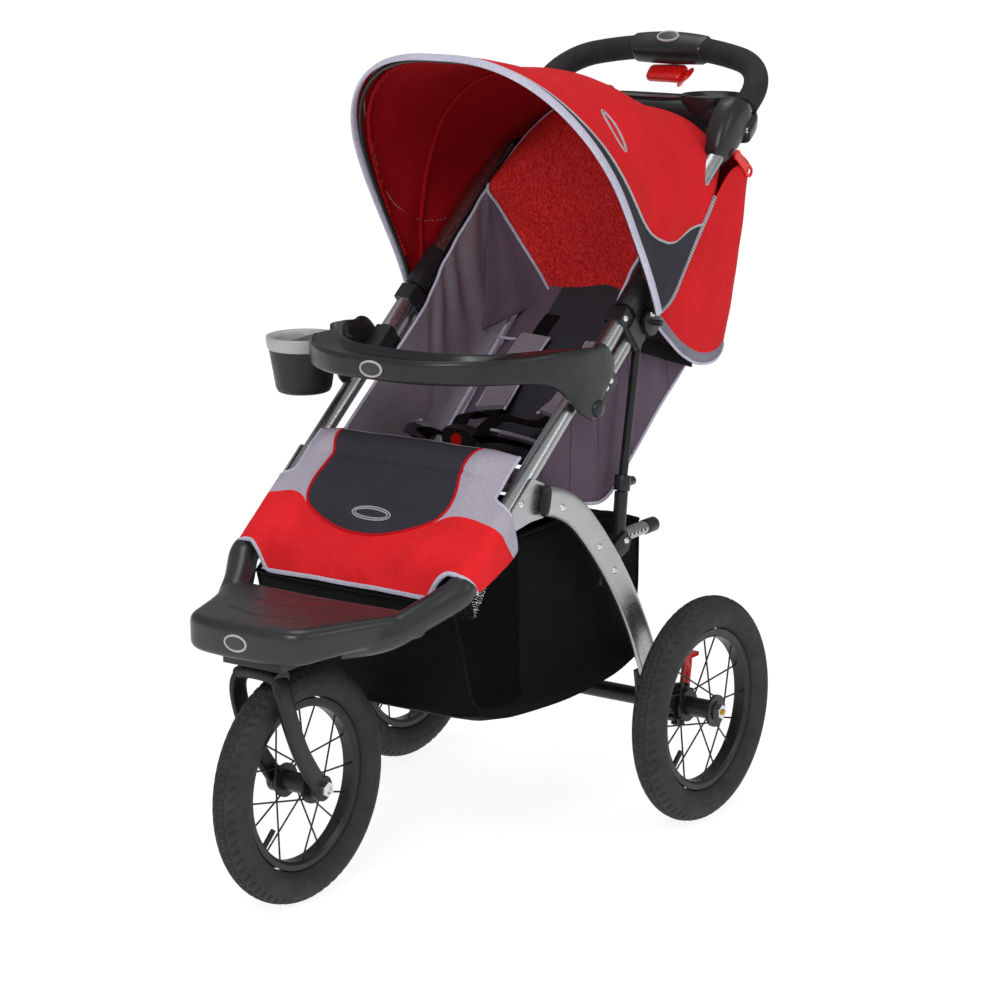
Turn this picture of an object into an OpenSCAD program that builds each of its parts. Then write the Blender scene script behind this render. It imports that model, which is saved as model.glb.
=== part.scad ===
// Three-wheeled jogging stroller: folding frame, swivel front wheel, reclining seat, canopy.
// Millimetres. X runs across, +Y to the rear, +Z up; the wheels stand on Z = 0.

/* [Wheels] */
// Outer radius of the tyres
wheel_r = 155; // [145:1:158]
// Half thickness of a tyre's round section
tyre_r = 23.5; // [20:0.5:24]
// Distance from the front axle to the rear axle
wheelbase = 553; // [540:1:580]
// Rear wheel centre, measured from the middle
rear_x = 251; // [250:1:260]
// Number of spokes in each wheel
spoke_count = 16; // [12:2:20]

/* [Frame] */
// Slope of the main side tubes
tube_slope = 38.55; // [38:0.1:39]
// Radius of the side tubes and the handle tube
tube_r = 12; // [10:0.5:12]
// Side tube centre, measured from the middle
tube_x = 172; // [170:0.5:173]
// Depth of the flat rear leg, seen from the side
leg_depth = 40; // [30:1:42]
// Height of the handle fold pin
hinge_z = 684; // [683:0.5:686]
// Place of the handle fold pin along the frame
hinge_y = 146; // [145:0.5:148]

/* [Seat and canopy] */
// Recline of the seat back above level
back_angle = 41; // [38:1:44]
// Length of the seat back pad
back_len = 375; // [320:5:380]
// Outer radius of the canopy roof about the fold pin
roof_r = 327; // [315:1:328]
// Reach of the canopy's front bow from the fold pin
bow_r = 412; // [380:1:420]

/* [Hidden] */
$fn = 64;
HULL_FN = 32;
FIT = 0.05;

rear_y = 182.5;
front_y = rear_y - wheelbase;
swivel_y = front_y - 60;
line_y = 47;
line_z = 650;
hinge_u = (hinge_y - line_y) * cos(tube_slope) + (hinge_z - line_z) * sin(tube_slope);
hinge_v = -(hinge_y - line_y) * sin(tube_slope) + (hinge_z - line_z) * cos(tube_slope);

// Side view points on the tube line: along (u) and square to it (v)
function on_line(u, v = 0) = [
    line_y + u * cos(tube_slope) - v * sin(tube_slope),
    line_z + u * sin(tube_slope) + v * cos(tube_slope)
];

// Where the parts of the fold mechanism start and end along the tube line
low_tube_top = -40;
low_plate_top = 5;
high_plate_start = 55;
high_plate_top = 80;
link_drop = -33;
plate_in = 158;
plate_out = 185;
sleeve_start = 84;
sleeve_end = 150;
ear_r = 17;
pin_r = 5;
bow_pin_r = 4;

// Front of the frame: the side tubes turn in under the footrest to the swivel housing
tube_bend = -400;
front_joints = [
    [tube_x, on_line(tube_bend)[0], on_line(tube_bend)[1]],
    [122, -350, 357],
    [40, -414, 346]
];
housing_low = 326;
housing_high = 366;
stem_r = 8;

// Handle loop, drawn flat on the tube plane
corner_r = 75;
corner_turn = 72;
corner_u = 488.3;
corner_x = tube_x - corner_r;
bow_bar_r = (corner_x + corner_r * cos(corner_turn)) / cos(corner_turn);
bow_bar_u = corner_u + corner_r * sin(corner_turn) - bow_bar_r * sin(corner_turn);
grip_start = 468;
grip_r = 17;
console_half = 58;
console_turn = acos(console_half / bow_bar_r);

// Rear leg: a tight bend, then a long gentle one, both turning down
leg_in = 188;
leg_out = 203;
leg_start = [-105, 492];
leg_heading = [-12, -44, -70];
leg_r = [170, 700];
function right_of(h) = [sin(h), -cos(h)];
leg_c1 = leg_start + leg_r[0] * right_of(leg_heading[0]);
leg_mid = leg_c1 - leg_r[0] * right_of(leg_heading[1]);
leg_c2 = leg_mid + leg_r[1] * right_of(leg_heading[1]);

strut_x = 174.5;
strut_top = [138, 652];
strut_join = [101, 462];
strut_foot = [93, 398];
axle_z = wheel_r;
axle_tube_end = 203;
lever_pin = [206, 172];

// Canopy angles about the fold pin, from level at the rear
roof_start = 51;
roof_end = 98;
bow_turn = 121;
roof_half = 201;
visor_half = 206;
shoulder_r = 130;
brow_r = 190;

seat_half = 145;
wing_in = 147;
wing_out = 153.5;
back_half = 138;
back_pivot = [98, 458];
cup_pos = [-205, -92];
cup_r = 44;
parent_cup = [108, 432];
parent_cup_r = 38;
parent_bore_r = 34;

// ---------- helpers ----------

module both_sides() {
    children();
    mirror([1, 0, 0]) children();
}

// Turns a shape drawn in the side view (Y, Z) so that its own Z becomes X
module around_x() {
    rotate([90, 0, 90]) children();
}

module on_tube_line() {
    translate([0, line_y, line_z]) rotate([tube_slope, 0, 0]) children();
}

module at_hinge() {
    translate([0, hinge_y, hinge_z]) children();
}

module side_plate(points, x_in, x_out) {
    translate([x_in, 0, 0]) around_x() linear_extrude(x_out - x_in) polygon(points);
}

module x_rod(r, x_in, x_out, y, z) {
    translate([x_in, y, z]) rotate([0, 90, 0]) cylinder(h = x_out - x_in, r = r);
}

module rod(from, to, r) {
    d = to - from;
    translate(from) rotate([0, acos(d.z / norm(d)), atan2(d.y, d.x)]) cylinder(h = norm(d), r = r);
}

// A tube along the line, in the tube line's own frame
module line_tube(x, v, from_u, to_u, r) {
    translate([x, from_u, v]) rotate([-90, 0, 0]) cylinder(h = to_u - from_u, r = r);
}

module box_between(low, high) {
    translate(low) cube(high - low);
}

module oval_plate(half_w, half_h, thick) {
    linear_extrude(thick) union() {
        square([2 * (half_w - half_h), 2 * half_h], center = true);
        for (s = [-1, 1]) translate([s * (half_w - half_h), 0]) circle(half_h);
    }
}

// ---------- front frame ----------

module housing_block() {
    box_between([-46, swivel_y - 25, housing_low], [46, swivel_y + 25, housing_high]);
}

module front_tube_run(r) {
    for (i = [0 : len(front_joints) - 2]) rod(front_joints[i], front_joints[i + 1], r);
    for (i = [0 : len(front_joints) - 2]) translate(front_joints[i]) sphere(r + 0.2);
}

module lower_side_tubes() {
    color("silver") both_sides() difference() {
        union() {
            on_tube_line() line_tube(tube_x, 0, tube_bend, low_tube_top, tube_r);
            front_tube_run(tube_r);
        }
        housing_block();
    }
}

module swivel_housing() {
    color("dimgray") difference() {
        union() {
            housing_block();
            translate([0, swivel_y, housing_low - 3]) cylinder(h = 4, r = 20);
        }
        translate([0, swivel_y, housing_low - 4]) cylinder(h = housing_high, r = stem_r + FIT);
        translate([0, swivel_y - 18, housing_low - 4]) cylinder(h = 30, r = 4 + FIT);
    }
}

// Deck outline from two front and two rear corner posts
module footrest_block(post_r, low, drop_top) {
    hull() {
        for (s = [-1, 1]) {
            translate([s * 83, -464, 341 - low])
                cylinder(h = 47 + low - drop_top, r = post_r, $fn = HULL_FN);
            translate([s * 152, -330, 350 - low])
                cylinder(h = 36 + low - drop_top, r = post_r, $fn = HULL_FN);
        }
    }
}

module footrest() {
    mouth = on_line(-390);
    color("black") difference() {
        union() {
            footrest_block(15, 0, 0);
            both_sides() {
                rod([tube_x, mouth[0], mouth[1]], front_joints[0], 19);
                translate(front_joints[0]) sphere(19.4);
                rod(front_joints[0], front_joints[1], 19);
            }
        }
        footrest_block(11, 20, 4);
        both_sides() {
            front_tube_run(tube_r + 0.6);
            on_tube_line() line_tube(tube_x, 0, tube_bend - 1, -380, tube_r + 0.4);
        }
    }
}

module footrest_badge() {
    color("lightgray") translate([0, -479, 364]) rotate([90, 0, 0]) oval_plate(19, 12, 2.5);
}

// ---------- fold mechanism ----------

module lower_hinge_brackets() {
    color("black") both_sides() on_tube_line() difference() {
        box_between([plate_in, low_tube_top, -47], [plate_out, low_plate_top, 13]);
        translate([plate_in - 1, low_tube_top, -47]) rotate([45, 0, 0]) cube([40, 16, 16], center = true);
    }
}

module link_bars() {
    color("silver") both_sides() on_tube_line() {
        line_tube(tube_x, 0, low_plate_top, high_plate_start, tube_r);
        line_tube(tube_x, link_drop, low_plate_top, high_plate_start, tube_r - 1);
    }
}

module upper_hinge_plates() {
    color("black") both_sides() on_tube_line() difference() {
        union() {
            box_between([plate_in, high_plate_start, -47], [plate_out, high_plate_top, 14]);
            translate([plate_out - 5, high_plate_start + 4, -47]) cube([8.5, 21, 40]);
            translate([plate_out + 0.5, hinge_u - 22, hinge_v - 9]) cube([3, 22, 18]);
            translate([plate_out + 0.5, hinge_u, hinge_v]) rotate([0, 90, 0]) cylinder(h = 3, r = 13);
            translate([plate_in - 3.5, high_plate_start + 4, -47]) cube([8, 21, 40]);
            translate([plate_in - 3.5, hinge_u - 22, hinge_v - 9]) cube([3, 22, 18]);
            translate([plate_in - 3.5, hinge_u, hinge_v]) rotate([0, 90, 0]) cylinder(h = 3, r = 13);
        }
        translate([plate_in - 6, hinge_u, hinge_v]) rotate([0, 90, 0]) cylinder(h = 40, r = pin_r + 0.02);
    }
}

module hinge_pins() {
    color("gray") both_sides() {
        x_rod(pin_r, plate_in - 4, plate_out + 3.6, hinge_y, hinge_z);
        x_rod(18, plate_out + 3.6, 194, hinge_y, hinge_z);
        x_rod(bow_pin_r, 194, 208, hinge_y, hinge_z);
    }
}

// ---------- rear frame ----------

module ring_sector(centre, r, from_a, to_a) {
    reach = 2 * (r + leg_depth);
    mid = (from_a + to_a) / 2;
    translate(centre) intersection() {
        difference() {
            circle(r + leg_depth / 2, $fn = 128);
            circle(r - leg_depth / 2, $fn = 128);
        }
        polygon([
            [0, 0],
            reach * [cos(from_a), sin(from_a)],
            reach * [cos(mid), sin(mid)],
            reach * [cos(to_a), sin(to_a)]
        ]);
    }
}

module rear_legs() {
    h = leg_heading;
    color("silver") both_sides() translate([leg_in, 0, 0]) around_x() {
        linear_extrude(leg_out - leg_in) union() {
            ring_sector(leg_c1, leg_r[0], h[1] + 90, h[0] + 90);
            ring_sector(leg_c2, leg_r[1], h[2] + 90, h[1] + 90.2);
        }
    }
}

module leg_gussets() {
    color("silver") both_sides() side_plate([
        [-178, 460], [-166, 490], [-124, 524], [-100, 513], [-84, 498], [-100, 468], [-128, 468]
    ], 184.2, 187.9);
}

module rear_axle_tube() {
    color("black") x_rod(tube_r, -axle_tube_end, axle_tube_end, rear_y, axle_z);
}

module axle_brackets() {
    color("black") both_sides() difference() {
        side_plate([
            [122, 212], [168, 212], [216, 182], [214, 160], [192, 138], [168, 140], [128, 172]
        ], 180, 187.9);
        x_rod(tube_r + 0.02, 170, 200, rear_y, axle_z);
        x_rod(4.02, 170, 200, lever_pin[0], lever_pin[1]);
    }
}

module hex_nut(x, flat_r) {
    translate([x, 0, 0]) rotate([0, 90, 0]) cylinder(h = 7, r = flat_r, $fn = 6);
}

module rear_axles() {
    color("silver") both_sides() {
        x_rod(6, axle_tube_end, 284, rear_y, axle_z);
        translate([0, rear_y, axle_z]) difference() {
            hex_nut(277, 10);
            x_rod(6, 270, 290, 0, 0);
        }
        x_rod(4, 176, 212, lever_pin[0], lever_pin[1]);
    }
}

module strut_line(r, from, to) {
    rod([strut_x, from[0], from[1]], [strut_x, to[0], to[1]], r);
}

module strut_rods() {
    color("black") both_sides() difference() {
        strut_line(6, strut_join + [-1, -5], strut_top);
        on_tube_line() box_between([150, 0, -47.01], [190, high_plate_top, 20]);
    }
}

module strut_sleeves() {
    color("black") both_sides() difference() {
        union() {
            strut_line(9, strut_foot, strut_join);
            x_rod(11, strut_x - 9, strut_x + 7, strut_foot[0], strut_foot[1]);
        }
        strut_line(6.02, strut_join + [-1, -5], strut_top);
    }
}

module strut_collars() {
    lift = [2.3, 11.8];
    color("black") both_sides() difference() {
        union() {
            strut_line(11, strut_join + 0.12 * lift, strut_join + 1.8 * lift);
            translate([strut_x, strut_join[0] + 3, strut_join[1] + 10])
                rotate([-90, 0, 0]) cylinder(h = 24, r = 6);
        }
        strut_line(6.02, strut_join - lift, strut_join + 4 * lift);
    }
}

module strut_brackets() {
    color("black") both_sides() side_plate([
        [28, 352], [52, 392], [92, 412], [106, 398], [98, 384], [64, 372], [48, 344]
    ], 184.1, 187.9);
}

module basket_side_bars() {
    color("silver") both_sides() difference() {
        rod([strut_x, 104, 402], [strut_x, 156, 402], 9);
        for (y = [110 : 9 : 150]) x_rod(2, 150, 200, y, 402);
    }
}

module basket_bar_caps() {
    color("black") both_sides() rod([strut_x, 156, 402], [strut_x, 180, 402], 10);
}

module rivet_row(points, x_face) {
    for (p = points) x_rod(4.5, x_face, x_face + 2, p[0], p[1]);
}

module frame_rivets() {
    color("silver") both_sides() {
        rivet_row([on_line(-23), on_line(-9, -32), on_line(-22, -32)], plate_out);
        rivet_row([on_line(66, 6)], plate_out);
        rivet_row([[6, 410], [41, 371]], leg_out);
        rivet_row([on_line(-249)], 187.9);
        rivet_row([[-78, 479]], leg_out);
        rivet_row([strut_foot], 187.9);
        rivet_row([[hinge_y, hinge_z + 11]], 194);
    }
}

// ---------- wheels ----------

module at_wheel(x, y) {
    translate([x, y, axle_z]) around_x() children();
}

module tyre() {
    rotate_extrude() difference() {
        translate([wheel_r - tyre_r, 0]) circle(tyre_r);
        translate([0, -30]) square([110.1, 60]);
    }
}

module rim() {
    rotate_extrude() polygon([
        [99, -8], [103, -11], [110, -11], [110, -8], [105, -6],
        [105, 6], [110, 8], [110, 11], [103, 11], [99, 8]
    ]);
}

module spoked_hub(side, with_ratchet) {
    difference() {
        union() {
            cylinder(h = 52, r = 13, center = true);
            for (s = [-1, 1]) translate([0, 0, s * 22]) cylinder(h = 4, r = 22, center = true);
            if (with_ratchet) {
                translate([0, 0, side * 33.5]) cylinder(h = 9, r = 25, center = true);
                translate([0, 0, side * 27]) cylinder(h = 8, r = 18, center = true);
                for (a = [0 : 30 : 330]) rotate([0, 0, a]) translate([26, 0, side * 33.5])
                    cube([7, 7, 9], center = true);
            }
        }
        cylinder(h = 100, r = 6 + FIT, center = true);
    }
    for (i = [0 : spoke_count - 1]) {
        s = i % 2 == 0 ? 1 : -1;
        lean = (floor(i / 2) % 2 == 0 ? 1 : -1) * 34;
        a = i * 360 / spoke_count;
        rod(
            [22.4 * cos(a + lean), 22.4 * sin(a + lean), s * 22],
            [98.9 * cos(a), 98.9 * sin(a), s * 3], 1.2
        );
    }
}

module valve_stem() {
    rotate([0, 0, 222]) translate([71, 0, 0]) rotate([0, 90, 0]) cylinder(h = 27.9, r = 3.5);
}

module rear_tyre_left() { color("black") at_wheel(-rear_x, rear_y) tyre(); }
module rear_tyre_right() { color("black") at_wheel(rear_x, rear_y) tyre(); }
module front_tyre() { color("black") at_wheel(0, front_y) tyre(); }
module rear_rim_left() { color("dimgray") at_wheel(-rear_x, rear_y) { rim(); valve_stem(); } }
module rear_rim_right() { color("dimgray") at_wheel(rear_x, rear_y) { rim(); valve_stem(); } }
module front_rim() { color("dimgray") at_wheel(0, front_y) { rim(); valve_stem(); } }
module rear_spoked_hub_left() { color("dimgray") at_wheel(-rear_x, rear_y) spoked_hub(1, true); }
module rear_spoked_hub_right() { color("dimgray") at_wheel(rear_x, rear_y) spoked_hub(-1, true); }
module front_spoked_hub() { color("dimgray") at_wheel(0, front_y) spoked_hub(1, false); }

// Foot brake: a plate on its pin with a pedal pad, its nose above the toothed ring
module brake_lever() {
    color("red") difference() {
        union() {
            side_plate([
                [lever_pin[0] - 9, lever_pin[1] - 8], [lever_pin[0] + 9, lever_pin[1] - 8],
                [222, 202], [222, 212], [206, 212]
            ], 205, 211);
            box_between([197, 206, 209], [211, 240, 215]);
        }
        x_rod(4.06, 180, 230, lever_pin[0], lever_pin[1]);
    }
}

module brake_lever_right() { brake_lever(); }
module brake_lever_left() { mirror([1, 0, 0]) brake_lever(); }

// ---------- swivel fork ----------

module front_fork() {
    leg = [[34, -446, 314], [37, -436, 280], [37, -414, 225], [34, front_y, axle_z]];
    color("black") difference() {
        union() {
            translate([0, swivel_y, 316]) cylinder(h = housing_high - 318, r = stem_r);
            box_between([-20, -456, 309], [20, -421, 321]);
            rod([-34, -446, 314], [34, -446, 314], 8);
            both_sides() {
                for (i = [0 : 2]) rod(leg[i], leg[i + 1], 7);
                for (i = [0 : 2]) translate(leg[i]) sphere(8.2);
                x_rod(11, 28, 41, front_y, axle_z);
            }
        }
        x_rod(6.02, -60, 60, front_y, axle_z);
        translate([0, swivel_y - 18, 300]) cylinder(h = 40, r = 4.3);
        x_rod(wheel_r - 10, -27.5, 27.5, front_y, axle_z);
    }
}

module front_axle() {
    color("silver") translate([0, front_y, axle_z]) {
        x_rod(6, -46, 46, 0, 0);
        both_sides() difference() {
            hex_nut(41, 10);
            x_rod(6, 30, 60, 0, 0);
        }
    }
}

// Spring pin that stops the fork from swivelling
module swivel_lock() {
    color("dimgray") translate([0, swivel_y - 18, 322]) cylinder(h = 26, r = 4);
}

// ---------- handle ----------

module handle_sleeves() {
    color("black") both_sides() on_tube_line() difference() {
        union() {
            line_tube(tube_x, 0, sleeve_start, sleeve_end, 15.5);
            box_between([160.5, sleeve_start, hinge_v], [184.5, hinge_u + 14, 0]);
            translate([160.5, hinge_u, hinge_v]) rotate([0, 90, 0]) cylinder(h = 24, r = ear_r);
        }
        line_tube(tube_x, 0, 100, 200, tube_r + 0.02);
        translate([150, hinge_u, hinge_v]) rotate([0, 90, 0]) cylinder(h = 50, r = pin_r + FIT);
        corner_cut();
    }
}

// Keeps the sleeve's front lower corner inside the hinge radius
module corner_cut() {
    difference() {
        box_between([150, sleeve_start - 5, hinge_v - 30], [190, hinge_u, hinge_v]);
        translate([150, hinge_u, hinge_v]) rotate([0, 90, 0]) cylinder(h = 50, r = ear_r);
    }
}

// Sweeps a section round the loop's corner, drawn on the tube plane
module corner_sweep() {
    translate([corner_x, corner_u, 0])
        rotate_extrude(angle = corner_turn) translate([corner_r, 0]) children();
}

// Sweeps a section along the bowed push bar between two angles
module bow_bar_sweep(from_a, to_a) {
    translate([0, bow_bar_u, 0]) rotate([0, 0, from_a])
        rotate_extrude(angle = to_a - from_a) translate([bow_bar_r, 0]) children();
}

module handle_tube() {
    color("silver") on_tube_line() {
        both_sides() {
            line_tube(tube_x, 0, 100, corner_u, tube_r);
            corner_sweep() circle(tube_r);
        }
        bow_bar_sweep(corner_turn, 180 - corner_turn) circle(tube_r);
    }
}

module handle_grips() {
    color("black") on_tube_line() both_sides() {
        translate([tube_x, grip_start, 0]) rotate([-90, 0, 0])
            linear_extrude(corner_u - grip_start) ring_2d(grip_r);
        corner_sweep() ring_2d(grip_r);
        bow_bar_sweep(corner_turn, console_turn - 0.1) ring_2d(grip_r);
    }
}

module ring_2d(r) {
    difference() {
        circle(r);
        circle(tube_r + 0.02);
    }
}

module handle_console() {
    color("black") on_tube_line() bow_bar_sweep(console_turn, 180 - console_turn) difference() {
        square([38, 37], center = true);
        circle(tube_r + 0.02);
    }
}

module console_badge() {
    color("lightgray") on_tube_line() translate([0, bow_bar_u + bow_bar_r, 18.6]) oval_plate(19, 11, 2);
}

module fold_trigger() {
    top_u = bow_bar_u + bow_bar_r;
    color("red") on_tube_line() {
        box_between([-32, top_u - 42, -34], [32, top_u - 12, -20]);
        box_between([14, top_u - 50, -38], [32, top_u - 42, -22]);
    }
}

module parent_tray() {
    color("black") difference() {
        union() {
            box_between([-154.5, 398, 905], [154.5, 470, 947]);
            for (s = [-1, 1]) translate([s * parent_cup[0], parent_cup[1], 878])
                cylinder(h = 77, r = parent_cup_r);
            both_sides() on_tube_line() box_between([152, 384, -22], [190, 452, 20]);
        }
        for (s = [-1, 1]) translate([s * parent_cup[0], parent_cup[1], 883])
            cylinder(h = 90, r = parent_bore_r);
        box_between([-62, 404, 911], [62, 464, 960]);
        both_sides() on_tube_line() line_tube(tube_x, 0, 370, 470, tube_r + 0.02);
    }
    color("silver") both_sides() on_tube_line() translate([190, 432, -8]) rotate([0, 90, 0])
        cylinder(h = 2, r = 4);
}

module storage_hook() {
    color("red") on_tube_line() translate([190.4, 390, -14]) rotate([-78, 0, 0]) around_x() difference() {
        linear_extrude(3) union() {
            circle(7);
            translate([0, -6]) square([34, 12]);
            translate([30, -8]) square([10, 16]);
            translate([40, 0]) circle(8);
        }
        translate([32, -4.5, -1]) linear_extrude(5) square([13, 9]);
    }
}

// ---------- canopy ----------

// Half profile of the hood: straight sides and a round shoulder up to the top
module dome_section(top_r, half_w, corner, low_r) {
    translate([low_r, -half_w]) square([top_r - corner - low_r, 2 * half_w]);
    translate([low_r, corner - half_w]) square([top_r - low_r, 2 * (half_w - corner)]);
    for (s = [-1, 1]) translate([top_r - corner, s * (half_w - corner)]) circle(corner);
}

module canopy_roof() {
    color("red") at_hinge() around_x() rotate([0, 0, roof_start])
        rotate_extrude(angle = roof_end - roof_start) difference() {
            dome_section(roof_r, roof_half, shoulder_r, 45);
            dome_section(roof_r - 4, roof_half - 3, shoulder_r - 3, 0);
        }
}

module thin_arch(turn, top_r, half_w, corner, low_r) {
    around_x() rotate([0, 0, turn]) rotate_extrude(angle = 0.3, $fn = HULL_FN)
        dome_section(top_r, half_w, corner, low_r, $fn = HULL_FN);
}

module canopy_visor() {
    color("red") at_hinge() difference() {
        hull() {
            thin_arch(roof_end, roof_r + 9, visor_half, shoulder_r, 45);
            thin_arch(bow_turn - 1.3, bow_r, visor_half, brow_r, 45);
        }
        hull() {
            thin_arch(roof_end - 1, roof_r + 5, visor_half - 2.6, shoulder_r - 1, 1);
            thin_arch(bow_turn + 1, bow_r - 4, visor_half - 2.6, brow_r - 2, 1);
        }
    }
}

module canopy_bow() {
    color("dimgray") at_hinge() difference() {
        union() {
            around_x() rotate([0, 0, bow_turn]) rotate([90, 0, 0]) translate([0, 0, -6])
                linear_extrude(6) difference() {
                    dome_section(bow_r, visor_half + 1, brow_r, 0);
                    dome_section(bow_r - 6, visor_half - 2.6, brow_r - 4, -5);
                }
            both_sides() x_rod(11, 203.2, 207.4, 0, 0);
        }
        both_sides() x_rod(bow_pin_r + FIT, 180, 220, 0, 0);
    }
}

// Rear curtain, open towards the seat
module canopy_drape() {
    outline = [
        [176, 722], [372, 866], [414, 862], [414, 820], [410, 750],
        [400, 690], [374, 630], [320, 610], [278, 606], [216, 640], [172, 684]
    ];
    inner = [
        [160, 730], [380, 930], [411, 900], [411, 820], [407, 750],
        [397, 690], [372, 633], [366, 600], [200, 600], [150, 690]
    ];
    color("red") difference() {
        side_plate(outline, -190, 190);
        side_plate(inner, -187, 187);
    }
}

// ---------- seat ----------

module seat_base() {
    color("thistle") side_plate(
        [[-117, 524], [64, 478], [64, 452], [-20, 468], [-113, 496]], -seat_half, seat_half
    );
}

module leg_rest() {
    color("red") on_tube_line() box_between([-174, -384, 12.6], [174, -205, 27]);
}

module wing(x_in, x_out) {
    color("rosybrown") side_plate([
        [-112, 507], [330, 862], [352, 836], [384, 716], [360, 684], [92, 452], [-20, 474]
    ], x_in, x_out);
}

module side_wing_left() { wing(-wing_out, -wing_in); }
module side_wing_right() { wing(wing_in, wing_out); }

module basket() {
    outer = [
        [-262, 378], [-207, 222], [-150, 204], [-20, 194], [100, 202], [158, 216],
        [176, 414], [90, 436], [20, 444], [-60, 446], [-165, 444]
    ];
    inner = [
        [-258, 392], [-204, 226], [-149, 207.5], [-20, 197.5], [99, 205.5], [155.5, 219],
        [173, 440], [90, 470], [-165, 470]
    ];
    color("black") difference() {
        side_plate(outer, -158, 158);
        side_plate(inner, -155, 155);
    }
}

module crotch_strap() {
    color("black") translate([0, -2, 502]) rotate([-14.3, 0, 0]) {
        box_between([-15, -16, -3], [15, -12, 11]);
    }
}

module harness_buckle() {
    color("black") translate([0, -20, 534]) difference() {
        box_between([-26, -9, -16], [26, 9, 18]);
        translate([0, -4, 1]) rotate([90, 0, 0]) cylinder(h = 6, r = 9);
    }
}

module buckle_button() {
    color("gray") translate([0, -26.5, 535]) rotate([90, 0, 0]) cylinder(h = 3.5, r = 8.5);
}

module seat_back_frame() {
    translate([0, back_pivot[0], back_pivot[1]]) rotate([back_angle, 0, 0]) children();
}

module seat_back() {
    color("red") seat_back_frame() box_between([-back_half, 8, 0], [back_half, back_len, 28]);
}

module shoulder_straps() {
    color("black") seat_back_frame() for (s = [-1, 1])
        box_between([s * 52 - 22, 60, 28.4], [s * 52 + 22, 300, 33]);
}

module recline_straps() {
    color("black") both_sides() side_plate(
        [[166, 652], [300, 612], [298, 600], [160, 640]], 163, 166
    );
}

// ---------- child tray ----------

module loop_2d(half_w, front, back, r) {
    union() {
        translate([-half_w, front + r]) square([2 * half_w, back - front - r]);
        translate([-(half_w - r), front]) square([2 * (half_w - r), r]);
        for (s = [-1, 1]) translate([s * (half_w - r), front + r]) circle(r);
    }
}

module child_tray() {
    color("black") difference() {
        union() {
            translate([0, 0, 640]) linear_extrude(36) difference() {
                loop_2d(198, -208, 24, 105);
                loop_2d(150, -138, 60, 75);
            }
            both_sides() side_plate(
                [[-36, 676], [24, 676], [34, 600], [24, 576], [6, 576], [-8, 590]], 188.5, 198
            );
            translate([cup_pos[0], cup_pos[1], 630]) cylinder(h = 22, r = cup_r + 3);
        }
        translate([cup_pos[0], cup_pos[1], 596]) cylinder(h = 100, r = cup_r);
        translate([cup_pos[0], cup_pos[1], 652]) cylinder(h = 40, r = cup_r + 3.1);
        both_sides() box_between([150, -30, 600], [188.5, 60, 690]);
    }
}

module tray_cup() {
    color("silver") translate([cup_pos[0], cup_pos[1], 0]) difference() {
        union() {
            translate([0, 0, 588]) cylinder(h = 70, r = cup_r - 0.1);
            translate([0, 0, 652]) cylinder(h = 6, r = cup_r + 3);
        }
        translate([0, 0, 592]) cylinder(h = 80, r = cup_r - 4);
    }
}

module tray_badge() {
    color("lightgray") translate([0, -208, 658]) rotate([90, 0, 0]) oval_plate(18, 11, 2);
}

lower_side_tubes();
swivel_housing();
footrest();
footrest_badge();
lower_hinge_brackets();
link_bars();
upper_hinge_plates();
hinge_pins();
leg_gussets();
rear_legs();
rear_axle_tube();
axle_brackets();
rear_axles();
strut_rods();
strut_sleeves();
strut_collars();
strut_brackets();
basket_side_bars();
basket_bar_caps();
frame_rivets();
basket();
seat_base();
leg_rest();
side_wing_left();
side_wing_right();
crotch_strap();
harness_buckle();
buckle_button();
recline_straps();
seat_back();
shoulder_straps();
handle_sleeves();
handle_tube();
handle_grips();
handle_console();
console_badge();
fold_trigger();
parent_tray();
storage_hook();
canopy_roof();
canopy_drape();
canopy_bow();
canopy_visor();
child_tray();
tray_cup();
tray_badge();
front_fork();
front_axle();
swivel_lock();
front_tyre();
front_rim();
front_spoked_hub();
rear_tyre_left();
rear_rim_left();
rear_spoked_hub_left();
rear_tyre_right();
rear_rim_right();
rear_spoked_hub_right();
brake_lever_left();
brake_lever_right();
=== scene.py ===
"""Baby stroller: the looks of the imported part. Lengths in this script are millimetres."""

import math

import bpy
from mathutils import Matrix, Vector, noise


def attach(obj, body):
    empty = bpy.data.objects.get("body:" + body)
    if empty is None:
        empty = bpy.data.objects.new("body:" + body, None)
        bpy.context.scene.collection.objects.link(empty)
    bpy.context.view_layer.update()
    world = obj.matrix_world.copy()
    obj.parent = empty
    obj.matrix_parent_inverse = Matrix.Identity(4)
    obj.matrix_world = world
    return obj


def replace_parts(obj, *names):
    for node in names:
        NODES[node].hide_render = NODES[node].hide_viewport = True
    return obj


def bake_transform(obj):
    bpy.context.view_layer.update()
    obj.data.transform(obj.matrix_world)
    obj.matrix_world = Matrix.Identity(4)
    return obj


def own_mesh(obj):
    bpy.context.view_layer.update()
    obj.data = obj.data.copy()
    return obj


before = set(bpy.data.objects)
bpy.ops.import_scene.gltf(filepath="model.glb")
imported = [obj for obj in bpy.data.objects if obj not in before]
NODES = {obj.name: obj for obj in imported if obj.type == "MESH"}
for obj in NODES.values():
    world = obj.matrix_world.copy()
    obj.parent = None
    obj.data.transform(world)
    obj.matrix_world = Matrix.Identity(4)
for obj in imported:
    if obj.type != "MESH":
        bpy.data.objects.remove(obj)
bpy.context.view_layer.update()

SLOPE = math.radians(38.55)
LINE = (47, 650)
HINGE = (146, 684)
WHEEL_R = 155
TYRE_R = 23.5
AXLE_Z = 155
REAR_WHEEL = (251, 182.5)
FRONT_Y = -370.5
TUBE_X = 172


# ---------- places ----------


def on_line(x, u, v=0.0):
    """A point in the side tubes' plane: u along the tubes, v square to them."""
    y = LINE[0] + u * math.cos(SLOPE) - v * math.sin(SLOPE)
    z = LINE[1] + u * math.sin(SLOPE) + v * math.cos(SLOPE)
    return Vector((x, y, z))


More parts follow.
